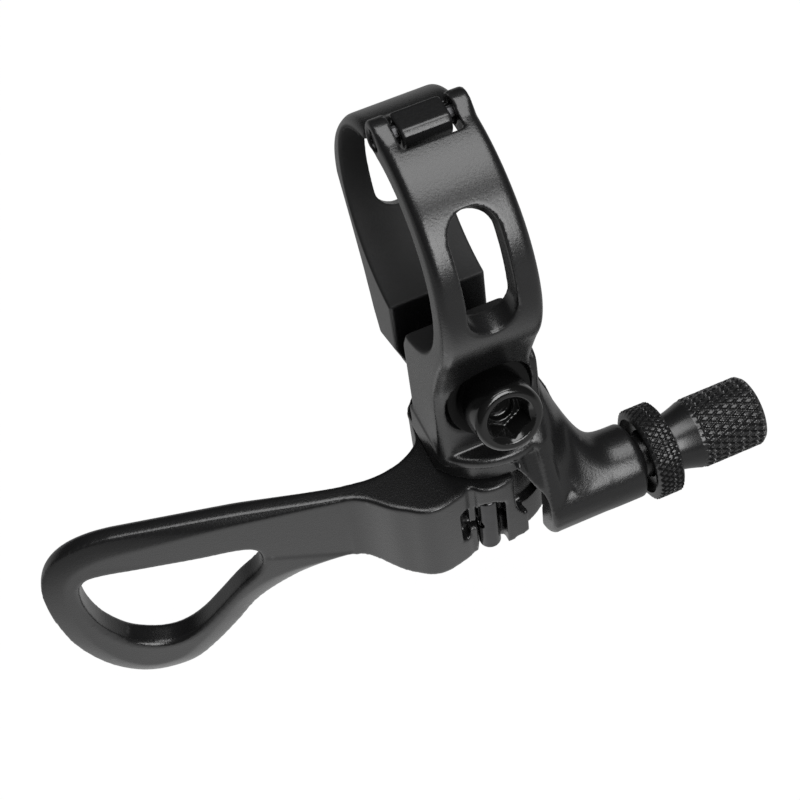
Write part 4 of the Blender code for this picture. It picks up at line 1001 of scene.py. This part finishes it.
upper_top_z = spigot_z - GAP
spacer_top_z = upper_top_z - BEARING_WIDTH - GAP
spacer_low_z = spacer_top_z - BEARING_SPACER_LENGTH
lower_top_z = spacer_low_z - GAP
cover_top_z = lower_top_z - BEARING_WIDTH - GAP
lever_low_z = cover_top_z - COVER_THICKNESS
pivot_shank = BEARING_BORE_RADIUS - FIT
pivot_head_top = lever_low_z - FIT
pivot_head_low = pivot_head_top - PIVOT_HEAD_HEIGHT
pivot_thread_top = pivot_tip_z - GAP
pivot_profile = [
    (0.0, pivot_thread_top),
    (PIVOT_THREAD_RADIUS - 0.0004, pivot_thread_top),
    (PIVOT_THREAD_RADIUS, pivot_thread_top - 0.0004),
    (PIVOT_THREAD_RADIUS, spigot_z - FIT),
    (pivot_shank, spigot_z - FIT),
    (pivot_shank, pivot_head_top),
    (PIVOT_HEAD_RADIUS, pivot_head_top),
    (PIVOT_HEAD_RADIUS, pivot_head_low + 0.0007),
    (PIVOT_HEAD_RADIUS - 0.0002, pivot_head_low + 0.0003),
    (PIVOT_HEAD_RADIUS - 0.0007, pivot_head_low),
    (0.0, pivot_head_low),
]
pivot_bolt = machined(
    turned("pivot", pivot_profile, pivot_axis, 96),
    cut=(
        hexagon(
            "pivot_socket",
            PIVOT_SOCKET_WIDTH,
            (PIVOT_X, PIVOT_Y, pivot_head_low - 0.001),
            (PIVOT_X, PIVOT_Y, pivot_head_low + PIVOT_SOCKET_DEPTH),
        ),
        cone(
            "pivot_lead",
            0.0021,
            0.0015,
            (PIVOT_X, PIVOT_Y, pivot_head_low - 0.0001),
            (PIVOT_X, PIVOT_Y, pivot_head_low + 0.0005),
        ),
    ),
    passes=2,
)
pivot_bolt.name = "dressed_pivot"
wear(pivot_bolt, bolt_black)
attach(pivot_bolt, "mount")
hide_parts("pivot_bolt")

cover_rim = BEARING_RADIUS + FIT - GAP
cover_bore = pivot_shank + FIT
cover_profile = [
    (SPIGOT_RADIUS, cover_top_z),
    (SPIGOT_RADIUS, cover_top_z - GAP),
    (cover_rim, cover_top_z - GAP),
    (cover_rim, lever_low_z + GAP),
    (cover_rim - 0.0001, lever_low_z + 0.0001),
    (cover_rim - GAP, lever_low_z),
    (cover_bore, lever_low_z),
    (cover_bore, cover_top_z),
]
bearing_cover = turned("dressed_cover", cover_profile, pivot_axis, 128)
bearing_cover.data.set_sharp_from_angle(angle=math.radians(40))
wear(bearing_cover, blasted_black)
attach(bearing_cover, "mount")
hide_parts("bearing_cover")

ground_steel = turned_steel("ground_steel", (0.34, 0.34, 0.35), (0.46, 0.46, 0.47), 0.22, "Z")
ball_steel = gloss_black("ball_steel", 0.62, 0.08, 1.0)
cage_brass = turned_steel("cage_brass", (0.42, 0.29, 0.11), (0.55, 0.40, 0.17), 0.36, "Z")
wear(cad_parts["bearing_spacer"], ground_steel)
for label in ("upper_bearing", "lower_bearing"):
    for part in ("_inner_ring", "_outer_ring"):
        wear(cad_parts[label + part], ground_steel)
    wear(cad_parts[label + "_cage"], cage_brass)
    for number in range(1, 8):
        wear(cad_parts[label + "_ball_" + str(number)], ball_steel)

# Thumb lever: hub, curved arm and dished paddle, milled from one aluminium blank. The paddle has a
# wide soft bevel round its front and a rounded teardrop opening; the hub holds the cable anchor.

HUB_RADIUS = 0.00825
ARM_THICKNESS = 0.0020
PADDLE_THICKNESS = 0.0030
PADDLE_LENGTH = 0.0337
PADDLE_HEIGHT = 0.0281
PADDLE_BEVEL_WIDTH = 0.0024
PADDLE_BEVEL_DEPTH = 0.0008
PADDLE_REAR_BEVEL = 0.0013
ARM_ANGLE = math.radians(-13.9)
ARM_ROOT = (-0.0160, -0.0063)
ARM_DROP = 0.385
NOTCH_START = 0.0017
CUP_WALL = 0.0005
BEARING_LAND_RADIUS = 0.00480
ANCHOR_X = -0.0015
ANCHOR_SIDE = 0.0012
WINDOW_X = -0.00135
WINDOW_RADIUS = 0.00155
WINDOW_DROP = 0.0026
TAIL_X = -0.0042
TAIL_WIDTH = 0.0010
TAIL_TOP = 0.0033
TAIL_LENGTH = 0.0054
CABLE_RADIUS = 0.00065

# The hub's front wall is thinned up from its foot, in two steps: from a direction round the pivot
# to a common end, up to a rise above the foot
RELIEF_INNER = 0.0067
RELIEF_OUTER = 0.0130
RELIEF_END = math.radians(335.0)
FOOT_RELIEF_START = math.radians(239.0)
FOOT_RELIEF_RISE = 0.0012
END_RELIEF_START = math.radians(280.5)
END_RELIEF_RISE = 0.0056

anchor_y = TUBE_Y + FIT
anchor_top_z = lever_top_z - WINDOW_DROP - FIT

# Lower edge of the arm and round the paddle, as shares of the paddle's length and height
PADDLE_EDGE = [
    (-0.045, 0.390), (0.020, ARM_DROP), (0.100, 0.415), (0.200, 0.475), (0.330, 0.595),
    (0.420, 0.735), (0.510, 0.865), (0.600, 0.965), (0.700, 1.000), (0.790, 0.985),
    (0.870, 0.915), (0.930, 0.810), (0.975, 0.670), (0.997, 0.500), (1.000, 0.370),
    (0.991, 0.260), (0.965, 0.168), (0.922, 0.095), (0.862, 0.042), (0.790, 0.011),
    (0.720, 0.000),
]

# Opening in the paddle, in the same shares
PADDLE_HOLE = [
    (0.470, 0.217), (0.345, 0.214), (0.293, 0.240), (0.285, 0.310), (0.310, 0.380),
    (0.380, 0.470), (0.466, 0.598), (0.530, 0.687), (0.593, 0.747), (0.655, 0.772),
    (0.720, 0.757), (0.790, 0.700), (0.849, 0.580), (0.875, 0.450), (0.877, 0.330),
    (0.855, 0.245), (0.800, 0.209), (0.630, 0.213),
]


def hub_plan():
    """Hub, front lobe and the root of the arm seen from above, counterclockwise."""
    root_x, root_y = ARM_ROOT
    slope = math.tan(ARM_ANGLE)
    back_x = root_x + 0.0004
    lobe_y = TUBE_Y - 0.0010
    back_front_y = root_y + slope * (back_x - root_x)
    front = flowing(
        [
            (back_x, back_front_y),
            (root_x + 0.0015, root_y - 0.0005),
            (root_x + 0.0027, root_y - 0.0014),
            (root_x + 0.0044, root_y - 0.0032),
            (root_x + 0.0058, lobe_y + 0.00145),
            (root_x + 0.0069, lobe_y + 0.00062),
            (root_x + 0.0080, lobe_y + 0.00018),
            (root_x + 0.0092, lobe_y + 0.0001),
            (root_x + 0.0106, lobe_y + 0.00035),
            (root_x + 0.0120, lobe_y + 0.0007),
        ],
        10,
    )
    window_boss = [
        (-0.0037, -0.0111), (-0.0033, -0.01098), (-0.0030, -0.01115), (-0.0026, -0.01165),
        (-0.0018, -0.01205), (-0.0006, -0.01222), (0.0004, -0.01212), (0.0010, -0.01200),
    ]
    front += flowing(window_boss, 8)
    hub = arc((PIVOT_X, PIVOT_Y), HUB_RADIUS, math.radians(271.0), math.radians(500.0), 130)
    rear = flowing(
        [
            (root_x + 0.01055, PIVOT_Y + 0.0024),
            (root_x + 0.01020, PIVOT_Y + 0.0011),
            (root_x + 0.0095, PIVOT_Y + 0.0003),
            (root_x + 0.0084, PIVOT_Y - 0.0004),
            (root_x + 0.0068, PIVOT_Y - 0.0010),
            (root_x + 0.0040, PIVOT_Y - 0.0013),
            (back_x, back_front_y + ARM_THICKNESS / math.cos(ARM_ANGLE)),
        ],
        10,
    )
    return front + hub + rear


def upright(name, outline, low, high, rounding, steps=4):
    """A plan outline raised along Z, with rounded top and bottom edges."""
    rings = []
    for side in (-1, 1):
        for k in range(steps + 1):
            turn = math.pi / 2 * (k if side < 0 else steps - k) / steps
            shifted = inset(outline, [rounding * (1 - math.sin(turn))] * len(outline))
            step = rounding * (1 - math.cos(turn))
            z = low + step if side < 0 else high - step
            rings.append([(x, y, z) for x, y in shifted])
    return loft(name, rings)


def arm_point(along, drop, depth):
    """A point of the arm: along it from its root, below its top, and behind its front face."""
    x = ARM_ROOT[0] - along * math.cos(ARM_ANGLE) - depth * math.sin(ARM_ANGLE)
    y = ARM_ROOT[1] - along * math.sin(ARM_ANGLE) + depth * math.cos(ARM_ANGLE)
    return (x, y, lever_top_z - drop)


def paddle_blade():
    """Arm and paddle in one blade, flat in front inside its wide bevel, rounded behind."""
    first, last = PADDLE_EDGE[0][0], PADDLE_EDGE[-1][0]
    top_edge = [(last - (last - first) * k / 24, 0.0) for k in range(1, 25)]
    shares = list(reversed(flowing(PADDLE_EDGE, 9) + top_edge))
    outline = [(-share * PADDLE_LENGTH, -drop * PADDLE_HEIGHT) for share, drop in shares]
    fades = [ease(share, 0.02, 0.28) for share, drop in shares]
    slims = [0.15 + 0.85 * ease(share, 0.2, 0.88) if drop < 0.3 else 1.0 for share, drop in shares]
    grows = [ease(share, 0.0, 0.35) for share, drop in shares]
    fronts = [EDGE + (PADDLE_BEVEL_WIDTH - EDGE) * f * s for f, s in zip(fades, slims)]
    rears = [EDGE + (PADDLE_REAR_BEVEL - EDGE) * f for f in fades]
    lowest = PADDLE_EDGE[1][1] * PADDLE_HEIGHT
    rings = []
    for step in range(10):
        at_rear = step < 5
        t = step / 4 if at_rear else (9 - step) / 4
        turn = math.pi / 2 * t
        if at_rear:
            shifted = inset(outline, [w * (1 - math.sin(turn)) for w in rears])
        else:
            shifted = inset(outline, [w * (1 - t) for w in fronts])
        ring = []
        for i, (share, drop) in enumerate(shares):
            sink = 0.00012 * min(1.0, max(0.0, -share / 0.045))
            thick = ARM_THICKNESS + (PADDLE_THICKNESS - ARM_THICKNESS) * grows[i]
            if at_rear:
                back = EDGE + (PADDLE_REAR_BEVEL - EDGE) * grows[i]
                level = thick - back * (1 - math.cos(turn))
            else:
                depth = EDGE + (PADDLE_BEVEL_DEPTH - EDGE) * grows[i]
                level = depth * (0.62 * t + 0.38 * t * t)
            along, rise = shifted[i]
            level = min(max(level, sink), thick - sink)
            low = min(max(-rise, sink), lowest - sink) if sink else -rise
            ring.append(arm_point(-along, low, level))
        rings.append(ring)
    return loft("blade", rings)


def paddle_opening():
    """Cutter for the rounded teardrop opening, flared where it meets both faces."""
    shares = flowing([*PADDLE_HOLE, PADDLE_HOLE[0]], 7)[:-1]
    outline = [(-share * PADDLE_LENGTH, -drop * PADDLE_HEIGHT) for share, drop in reversed(shares)]
    rim = 0.0004
    wide = inset(outline, [-2 * rim] * len(outline))
    levels = (
        (wide, PADDLE_THICKNESS + rim),
        (outline, PADDLE_THICKNESS - rim),
        (outline, rim),
        (wide, -rim),
    )
    rings = [[arm_point(-along, -rise, level) for along, rise in ring] for ring, level in levels]
    return loft("opening", rings)


def arm_underside():
    """Cutter that lifts the arm's lower edge from the hub's height to the arm's."""
    arm_low = lever_top_z - ARM_DROP * PADDLE_HEIGHT
    root_x = ARM_ROOT[0]
    curve = flowing(
        [
            (root_x - 0.003, arm_low),
            (root_x + 0.0010, arm_low),
            (root_x + 0.0035, (arm_low + lever_low_z) / 2),
            (root_x + 0.0062, lever_low_z - 0.0001),
        ],
        12,
    )
    below = lever_low_z - 0.004
    outline = list(reversed([*curve, (root_x + 0.0062, below), (root_x - 0.003, below)]))
    rings = [[(x, y, z) for x, z in outline] for y in (0.002, TUBE_Y - 0.006)]
    return loft("underside", rings)


def cable_step():
    """Cutter for the step in the hub's right front, with a round foot, where the cable comes in.

    Its drops below the hub's top and the X where it begins at each are in millimetres.
    """
    wall = BEARING_RADIUS + FIT + CUP_WALL
    far = PIVOT_X + HUB_RADIUS + 0.003
    near = PIVOT_Y - HUB_RADIUS - 0.003
    drops = (7.6, 7.4, 7.0, 6.4, 5.5, 4.5, -1.0)
    begins = (3.4, 2.8, 2.25, 1.85, 1.58, 1.5, 1.5)
    rings = []
    for drop, begin in zip(drops, begins):
        away = begin / 1000 - PIVOT_X
        start = math.atan2(-math.sqrt(wall**2 - away**2), away)
        curve = arc((PIVOT_X, PIVOT_Y), wall, math.radians(-20.0), start, 40)
        outline = [(begin / 1000, near), (far, near), (far, curve[0][1]), *curve]
        rings.append([(x, y, lever_top_z - drop / 1000) for x, y in outline])
    return loft("cable_step", rings)


def anchor_window():
    """Cutter for the arched opening in front of the cable anchor."""
    crown = lever_top_z - WINDOW_DROP - WINDOW_RADIUS
    low = lever_low_z - 0.001
    top_curve = arc((WINDOW_X, crown), WINDOW_RADIUS, 0, math.pi, 40)
    outline = [(WINDOW_X + WINDOW_RADIUS, low), *top_curve, (WINDOW_X - WINDOW_RADIUS, low)]
    rings = [[(x, y, z) for x, z in outline] for y in (anchor_y, anchor_y - 0.006)]
    return loft("window", rings)


def front_relief(name, start, rise):
    """Cutter that thins the hub's front wall from its foot up, right of a direction."""
    outline = arc((PIVOT_X, PIVOT_Y), RELIEF_OUTER, start, RELIEF_END, 60)
    outline += arc((PIVOT_X, PIVOT_Y), RELIEF_INNER, RELIEF_END, start, 60)
    levels = (lever_low_z - 0.001, lever_low_z + rise)
    return loft(name, [[(x, y, z) for x, y in outline] for z in levels])


def tail_slot():
    """Cutter for the upright slot that the cable's cut end leaves through."""
    low = lever_top_z - TAIL_TOP - TAIL_LENGTH
    outline = upright_slot(TAIL_WIDTH / 2, low, low + TAIL_LENGTH)
    rings = [[(TAIL_X + x, y, z) for x, z in outline] for y in (TUBE_Y + 0.0013, TUBE_Y - 0.006)]
    return loft("tail", rings)


def hub_bore(name, radius, low, high):
    """Cutter for a round bore about the pivot's axis."""
    return rod(name, radius, (PIVOT_X, PIVOT_Y, low), (PIVOT_X, PIVOT_Y, high), 128)


seat_radius = BEARING_RADIUS + FIT
hub = upright("hub", hub_plan(), lever_low_z, lever_top_z, EDGE)
thumb_lever = machined(
    carved(hub, [arm_underside()]),
    add=(paddle_blade(),),
    cut=(
        paddle_opening(),
        hub_bore("land", BEARING_LAND_RADIUS, lever_low_z - 0.001, lever_top_z + 0.001),
        hub_bore("upper_seat", seat_radius, spacer_top_z, lever_top_z + 0.001),
        hub_bore("lower_seat", seat_radius, lever_low_z - 0.001, spacer_low_z),
        cable_step(),
        rod(
            "anchor_bore",
            ANCHOR_SIDE + FIT / 2,
            (ANCHOR_X, anchor_y, lever_low_z - 0.001),
            (ANCHOR_X, anchor_y, anchor_top_z + FIT),
            64,
        ),
        anchor_window(),
        front_relief("front_foot", FOOT_RELIEF_START, FOOT_RELIEF_RISE),
        front_relief("front_end", END_RELIEF_START, END_RELIEF_RISE),
        tail_slot(),
        block(
            "cable_passage",
            (TAIL_X, TUBE_Y - CABLE_RADIUS, tube_z - CABLE_RADIUS),
            (NOTCH_START + 0.001, TUBE_Y + 2 * CABLE_RADIUS, tube_z + CABLE_RADIUS),
        ),
    ),
)
thumb_lever.name = "dressed_lever"
lever_black = black_anodised(
    "lever_black", (0.0070, 0.0070, 0.0073), (0.0135, 0.0135, 0.014), 0.27
)
wear(thumb_lever, lever_black)
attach(thumb_lever, "lever")
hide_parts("thumb_lever")

# Cable anchor and its grub screw: a small turned barrel that swivels in the hub and grips the
# cable. It is turned and blacked steel, and its flank shows through the arched window.

ANCHOR_LENGTH = 0.0084
SCREW_RADIUS = 0.00085

anchor_low_z = anchor_top_z - ANCHOR_LENGTH
anchor_axis = Matrix.Translation((ANCHOR_X, anchor_y, 0))
anchor_profile = [
    (0.0, anchor_top_z),
    (ANCHOR_SIDE - FIT, anchor_top_z),
    (ANCHOR_SIDE, anchor_top_z - FIT),
    (ANCHOR_SIDE, anchor_low_z + FIT),
    (ANCHOR_SIDE - FIT, anchor_low_z),
    (0.0, anchor_low_z),
]
screw_top_z = tube_z - CABLE_RADIUS
cable_anchor = machined(
    turned("anchor", anchor_profile, anchor_axis, 96),
    cut=(
        rod(
            "anchor_thread",
            SCREW_RADIUS + FIT,
            (ANCHOR_X, anchor_y, anchor_low_z - 0.001),
            (ANCHOR_X, anchor_y, screw_top_z + FIT),
            48,
        ),
        rod(
            "anchor_hole",
            CABLE_RADIUS,
            (ANCHOR_X - 0.003, TUBE_Y, tube_z),
            (ANCHOR_X + 0.003, TUBE_Y, tube_z),
            48,
        ),
    ),
    grain=0.0001,
    passes=2,
)
cable_anchor.name = "dressed_anchor"
anchor_steel = turned_steel(
    "anchor_steel", (0.035, 0.035, 0.036), (0.07, 0.07, 0.072), 0.2, "Z"
)
wear(cable_anchor, anchor_steel)
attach(cable_anchor, "anchor")
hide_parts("cable_anchor")
screw_black = turned_steel("screw_black", (0.04, 0.04, 0.042), (0.08, 0.08, 0.082), 0.30, "Z")
wear(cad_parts["cable_clamp_screw"], screw_black)

# Lock ring and barrel adjuster: turned aluminium with a diamond knurl rolled into both. The ring
# locks the barrel in the tube's thread, and the barrel takes the end of the cable's housing.

RING_RADIUS = 0.0052
RING_WIDTH = 0.0032
NECK_RADIUS = 0.0032
NECK_LENGTH = 0.0031
GRIP_RADIUS = 0.0040
GRIP_LENGTH = 0.0074
ADJUSTER_GAP = 0.0002
KNURL_DEPTH = 0.0003
KNURL_GROOVE = 0.46
KNURL_EDGE = 0.0002
RING_ROWS = 36
GRIP_ROWS = 84
RING_AROUND = 504
RING_TEETH = 42
RING_CROSSINGS = 2.5
GRIP_AROUND = 420
GRIP_TEETH = 30
GRIP_CROSSINGS = 4.0
CHAMFER = 0.00036
FACE_CHAMFER = 0.00055
CHAMFER_STEP = 0.00008
RECESS_RIM = 0.0009
RECESS_DEPTH = 0.0008
THREAD_STEPS = 8
THREAD_DEPTH = 0.0002
THREAD_LEAD = 0.0003
HOUSING_SOCKET_RADIUS = 0.0026
HOUSING_SOCKET_DEPTH = 0.0050

ring_start = TUBE_END + 2 * GAP + ADJUSTER_GAP
ring_end = ring_start + RING_WIDTH
neck_start = ring_end + GAP
grip_start = neck_start + NECK_LENGTH
grip_end = grip_start + GRIP_LENGTH
thread_start = TUBE_END - THREAD_BORE_DEPTH + 2 * GAP


def round_ring(x, radius, around):
    """A circle of points about the adjuster's axis."""
    turns = [2 * math.pi * i / around for i in range(around)]
    return [(x, TUBE_Y + radius * math.cos(t), tube_z + radius * math.sin(t)) for t in turns]


def groove(place):
    """Depth share of a rolled groove: sharp at its foot, flat over the diamond between."""
    away = abs(place - round(place)) * 2
    return max(0.0, 1 - (away / KNURL_GROOVE) ** 2)


def knurl(radius, start, end, teeth, crossings, around, rows):
    """Rings of a diamond knurl between two places along the adjuster."""
    rings = []
    for k in range(rows + 1):
        x = start + (end - start) * k / rows
        ring = []
        edge_fade = min(1.0, min(k, rows - k) / (rows * 0.04) + 0.3)
        for i in range(around):
            turn = 2 * math.pi * i / around
            lead = teeth * i / around
            slip = crossings * k / rows
            depth = KNURL_DEPTH * max(groove(lead + slip), groove(lead - slip))
            r = radius - depth * edge_fade - KNURL_EDGE * (1 - edge_fade)
            ring.append((x, TUBE_Y + r * math.cos(turn), tube_z + r * math.sin(turn)))
        rings.append(ring)
    return rings


ring_rings = [
    round_ring(ring_start, RING_RADIUS - FACE_CHAMFER, RING_AROUND),
    round_ring(ring_start + CHAMFER_STEP, RING_RADIUS - CHAMFER, RING_AROUND),
]
ring_rings += knurl(
    RING_RADIUS,
    ring_start + 0.00022,
    ring_end - 0.00022,
    RING_TEETH,
    RING_CROSSINGS,
    RING_AROUND,
    RING_ROWS,
)
ring_rings += [
    round_ring(ring_end - CHAMFER_STEP, RING_RADIUS - CHAMFER, RING_AROUND),
    round_ring(ring_end, RING_RADIUS - FACE_CHAMFER, RING_AROUND),
]


def bored(piece, *cutters):
    """Cuts holes and keeps the crisp form, with sharp edges where faces meet steeply."""
    carved(piece, cutters)
    piece.data.shade_smooth()
    piece.data.set_sharp_from_angle(angle=math.radians(32))
    return piece


lock_ring = bored(
    loft("dressed_lock_ring", ring_rings),
    rod(
        "ring_recess",
        RING_RADIUS - RECESS_RIM,
        (ring_start - 0.001, TUBE_Y, tube_z),
        (ring_start + RECESS_DEPTH, TUBE_Y, tube_z),
        128,
    ),
    rod(
        "ring_thread",
        THREAD_RADIUS + FIT,
        (ring_start - 0.001, TUBE_Y, tube_z),
        (ring_end + 0.001, TUBE_Y, tube_z),
        96,
    ),
)

barrel_rings = [round_ring(thread_start, THREAD_RADIUS - THREAD_LEAD, GRIP_AROUND)]
thread_length = neck_start - FIT - thread_start - 2 * THREAD_LEAD
for k in range(THREAD_STEPS * 2 + 1):
    flank = THREAD_RADIUS - (THREAD_DEPTH if k % 2 else 0.0)
    x = thread_start + THREAD_LEAD + thread_length * k / (THREAD_STEPS * 2)
    barrel_rings.append(round_ring(x, flank, GRIP_AROUND))
barrel_rings += [
    round_ring(neck_start - FIT, THREAD_RADIUS, GRIP_AROUND),
    round_ring(neck_start, NECK_RADIUS - 0.0002, GRIP_AROUND),
    round_ring(neck_start + 0.00006, NECK_RADIUS - 0.00006, GRIP_AROUND),
    round_ring(neck_start + 0.0002, NECK_RADIUS, GRIP_AROUND),
]
for k in range(1, 20):
    t = k / 20
    x = neck_start + 0.0002 + (NECK_LENGTH - 0.0004) * t
    radius = NECK_RADIUS + (GRIP_RADIUS - 0.0001 - NECK_RADIUS) * t**1.35
    barrel_rings.append(round_ring(x, radius, GRIP_AROUND))
barrel_rings += knurl(
    GRIP_RADIUS,
    grip_start,
    grip_end - 0.0004,
    GRIP_TEETH,
    GRIP_CROSSINGS,
    GRIP_AROUND,
    GRIP_ROWS,
)
barrel_rings += [
    round_ring(grip_end - 0.00012, GRIP_RADIUS - CHAMFER, GRIP_AROUND),
    round_ring(grip_end, GRIP_RADIUS - 0.0006, GRIP_AROUND),
]
barrel = bored(
    loft("dressed_barrel", barrel_rings),
    rod(
        "housing_socket",
        HOUSING_SOCKET_RADIUS,
        (grip_end - HOUSING_SOCKET_DEPTH, TUBE_Y, tube_z),
        (grip_end + 0.001, TUBE_Y, tube_z),
        96,
    ),
    rod(
        "barrel_bore",
        CABLE_BORE_RADIUS,
        (thread_start - 0.001, TUBE_Y, tube_z),
        (grip_end, TUBE_Y, tube_z),
        48,
    ),
)
knurled_black = black_anodised(
    "knurled_black", (0.0085, 0.0085, 0.0088), (0.016, 0.016, 0.0165), 0.27, 0.000006
)
for item, body_name, node in (
    (lock_ring, "ring", "lock_ring"),
    (barrel, "adjuster", "barrel_adjuster"),
):
    wear(item, knurled_black)
    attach(item, body_name)
    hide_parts(node)

# Floor, lamps and camera: a white sweep under the part that shows evenly white where it is seen,
# with a painted pool of light in its reflections, two soft boxes and a pale sky, with the camera
# where the photographer's stood.

FLOOR_Z = lever_top_z - PADDLE_HEIGHT - 0.0006
PAPER_GLOW = 1.06
PAPER_SEEN = 0.94
PAPER_MIRRORED = 0.22
# Centre and reach of a painted pool of light, which the floor shows only in reflections
PAINTED_POOL_CENTRE = (-0.028, -0.030, 0.0)
PAINTED_POOL_NEAR = 0.022
PAINTED_POOL_FAR = 0.056
SKY_STRENGTH = 0.03

bm = bmesh.new()
bmesh.ops.create_grid(bm, x_segments=1, y_segments=1, size=3.0)
floor = closed("floor", bm)
floor.location = (0, 0, FLOOR_Z)
floor_finish = Finish("white_paper")
paper = floor_finish.surface(Base_Color=(0.2, 0.2, 0.2, 1.0), Roughness=0.9)
glow = floor_finish.node("ShaderNodeEmission", {}, {"Color": (1, 1, 1, 1), "Strength": PAPER_GLOW})
rays = floor_finish.tree.nodes.new("ShaderNodeLightPath")
seen = Reading(floor_finish, rays.outputs["Is Camera Ray"])
mirrored = Reading(floor_finish, rays.outputs["Is Glossy Ray"])
through = Reading(floor_finish, rays.outputs["Is Transmission Ray"])
# Painted pool of light: in reflections the floor glows nearly white round a spot beside the part,
# and fades to a dim share farther off.
spot = floor_finish.node("ShaderNodeTexCoord", output=OBJECT_PLACE)
away = floor_finish.node(
    "ShaderNodeVectorMath", {"operation": "DISTANCE"}, {0: spot, 1: PAINTED_POOL_CENTRE}, output=1
)
painted_pool = floor_finish.node(
    "ShaderNodeMapRange",
    {"interpolation_type": "SMOOTHSTEP"},
    {
        "Value": away,
        "From Min": PAINTED_POOL_NEAR,
        "From Max": PAINTED_POOL_FAR,
        "To Min": PAPER_SEEN,
        "To Max": PAPER_MIRRORED,
    },
)
matt = Reading(floor_finish, floor_finish.shader.outputs[0])
lit = (seen + through) * PAPER_SEEN + mirrored * painted_pool
mix = floor_finish.node("ShaderNodeMixShader", {}, {0: lit, 1: matt, 2: glow})
output = floor_finish.tree.nodes["Material Output"]
floor_finish.tree.links.new(mix.socket, output.inputs["Surface"])
wear(floor, paper)

world = bpy.data.worlds.new("studio")
bpy.context.scene.world = world
world.use_nodes = True
sky = world.node_tree.nodes["Background"]
sky.inputs["Color"].default_value = (1.0, 1.0, 1.0, 1.0)
sky.inputs["Strength"].default_value = SKY_STRENGTH


def soft_box(name, spot, target, size, power):
    """A rectangular lamp at a spot, facing its target."""
    data = bpy.data.lights.new(name, "AREA")
    data.shape = "RECTANGLE"
    data.size = size[0]
    data.size_y = size[1]
    data.energy = power
    lamp = bpy.data.objects.new(name, data)
    bpy.context.scene.collection.objects.link(lamp)
    facing = (Vector(target) - Vector(spot)).to_track_quat("-Z", "Y").to_matrix().to_4x4()
    lamp.matrix_world = Matrix.Translation(spot) @ facing


centre = (0.0, -0.005, -0.025)
soft_box("front_box", (0.06, -0.41, 0.255), centre, (0.24, 0.32), 1.8)
soft_box("top_box", (0.05, -0.02, 0.46), centre, (0.34, 0.38), 2.0)

CAMERA_PLACE = (-0.03592, -0.10489, 0.11769)
CAMERA_RIGHT = (0.9146, -0.3924, -0.0971)
CAMERA_AHEAD = (0.1671, 0.5858, -0.7931)
CAMERA_LENS = 76.5

camera_data = bpy.data.cameras.new("camera")
camera_data.sensor_width = 36.0
camera_data.lens = CAMERA_LENS
camera_data.clip_start = 0.01
camera = bpy.data.objects.new("camera", camera_data)
bpy.context.scene.collection.objects.link(camera)
right = Vector(CAMERA_RIGHT).normalized()
ahead = Vector(CAMERA_AHEAD).normalized()
above = right.cross(ahead).normalized()
right = ahead.cross(above).normalized()
camera.matrix_world = Matrix.Translation(CAMERA_PLACE) @ Matrix(
    (
        (right.x, above.x, -ahead.x, 0),
        (right.y, above.y, -ahead.y, 0),
        (right.z, above.z, -ahead.z, 0),
        (0, 0, 0, 1),
    )
)
bpy.context.scene.camera = camera
bpy.context.scene.view_settings.view_transform = "Standard"
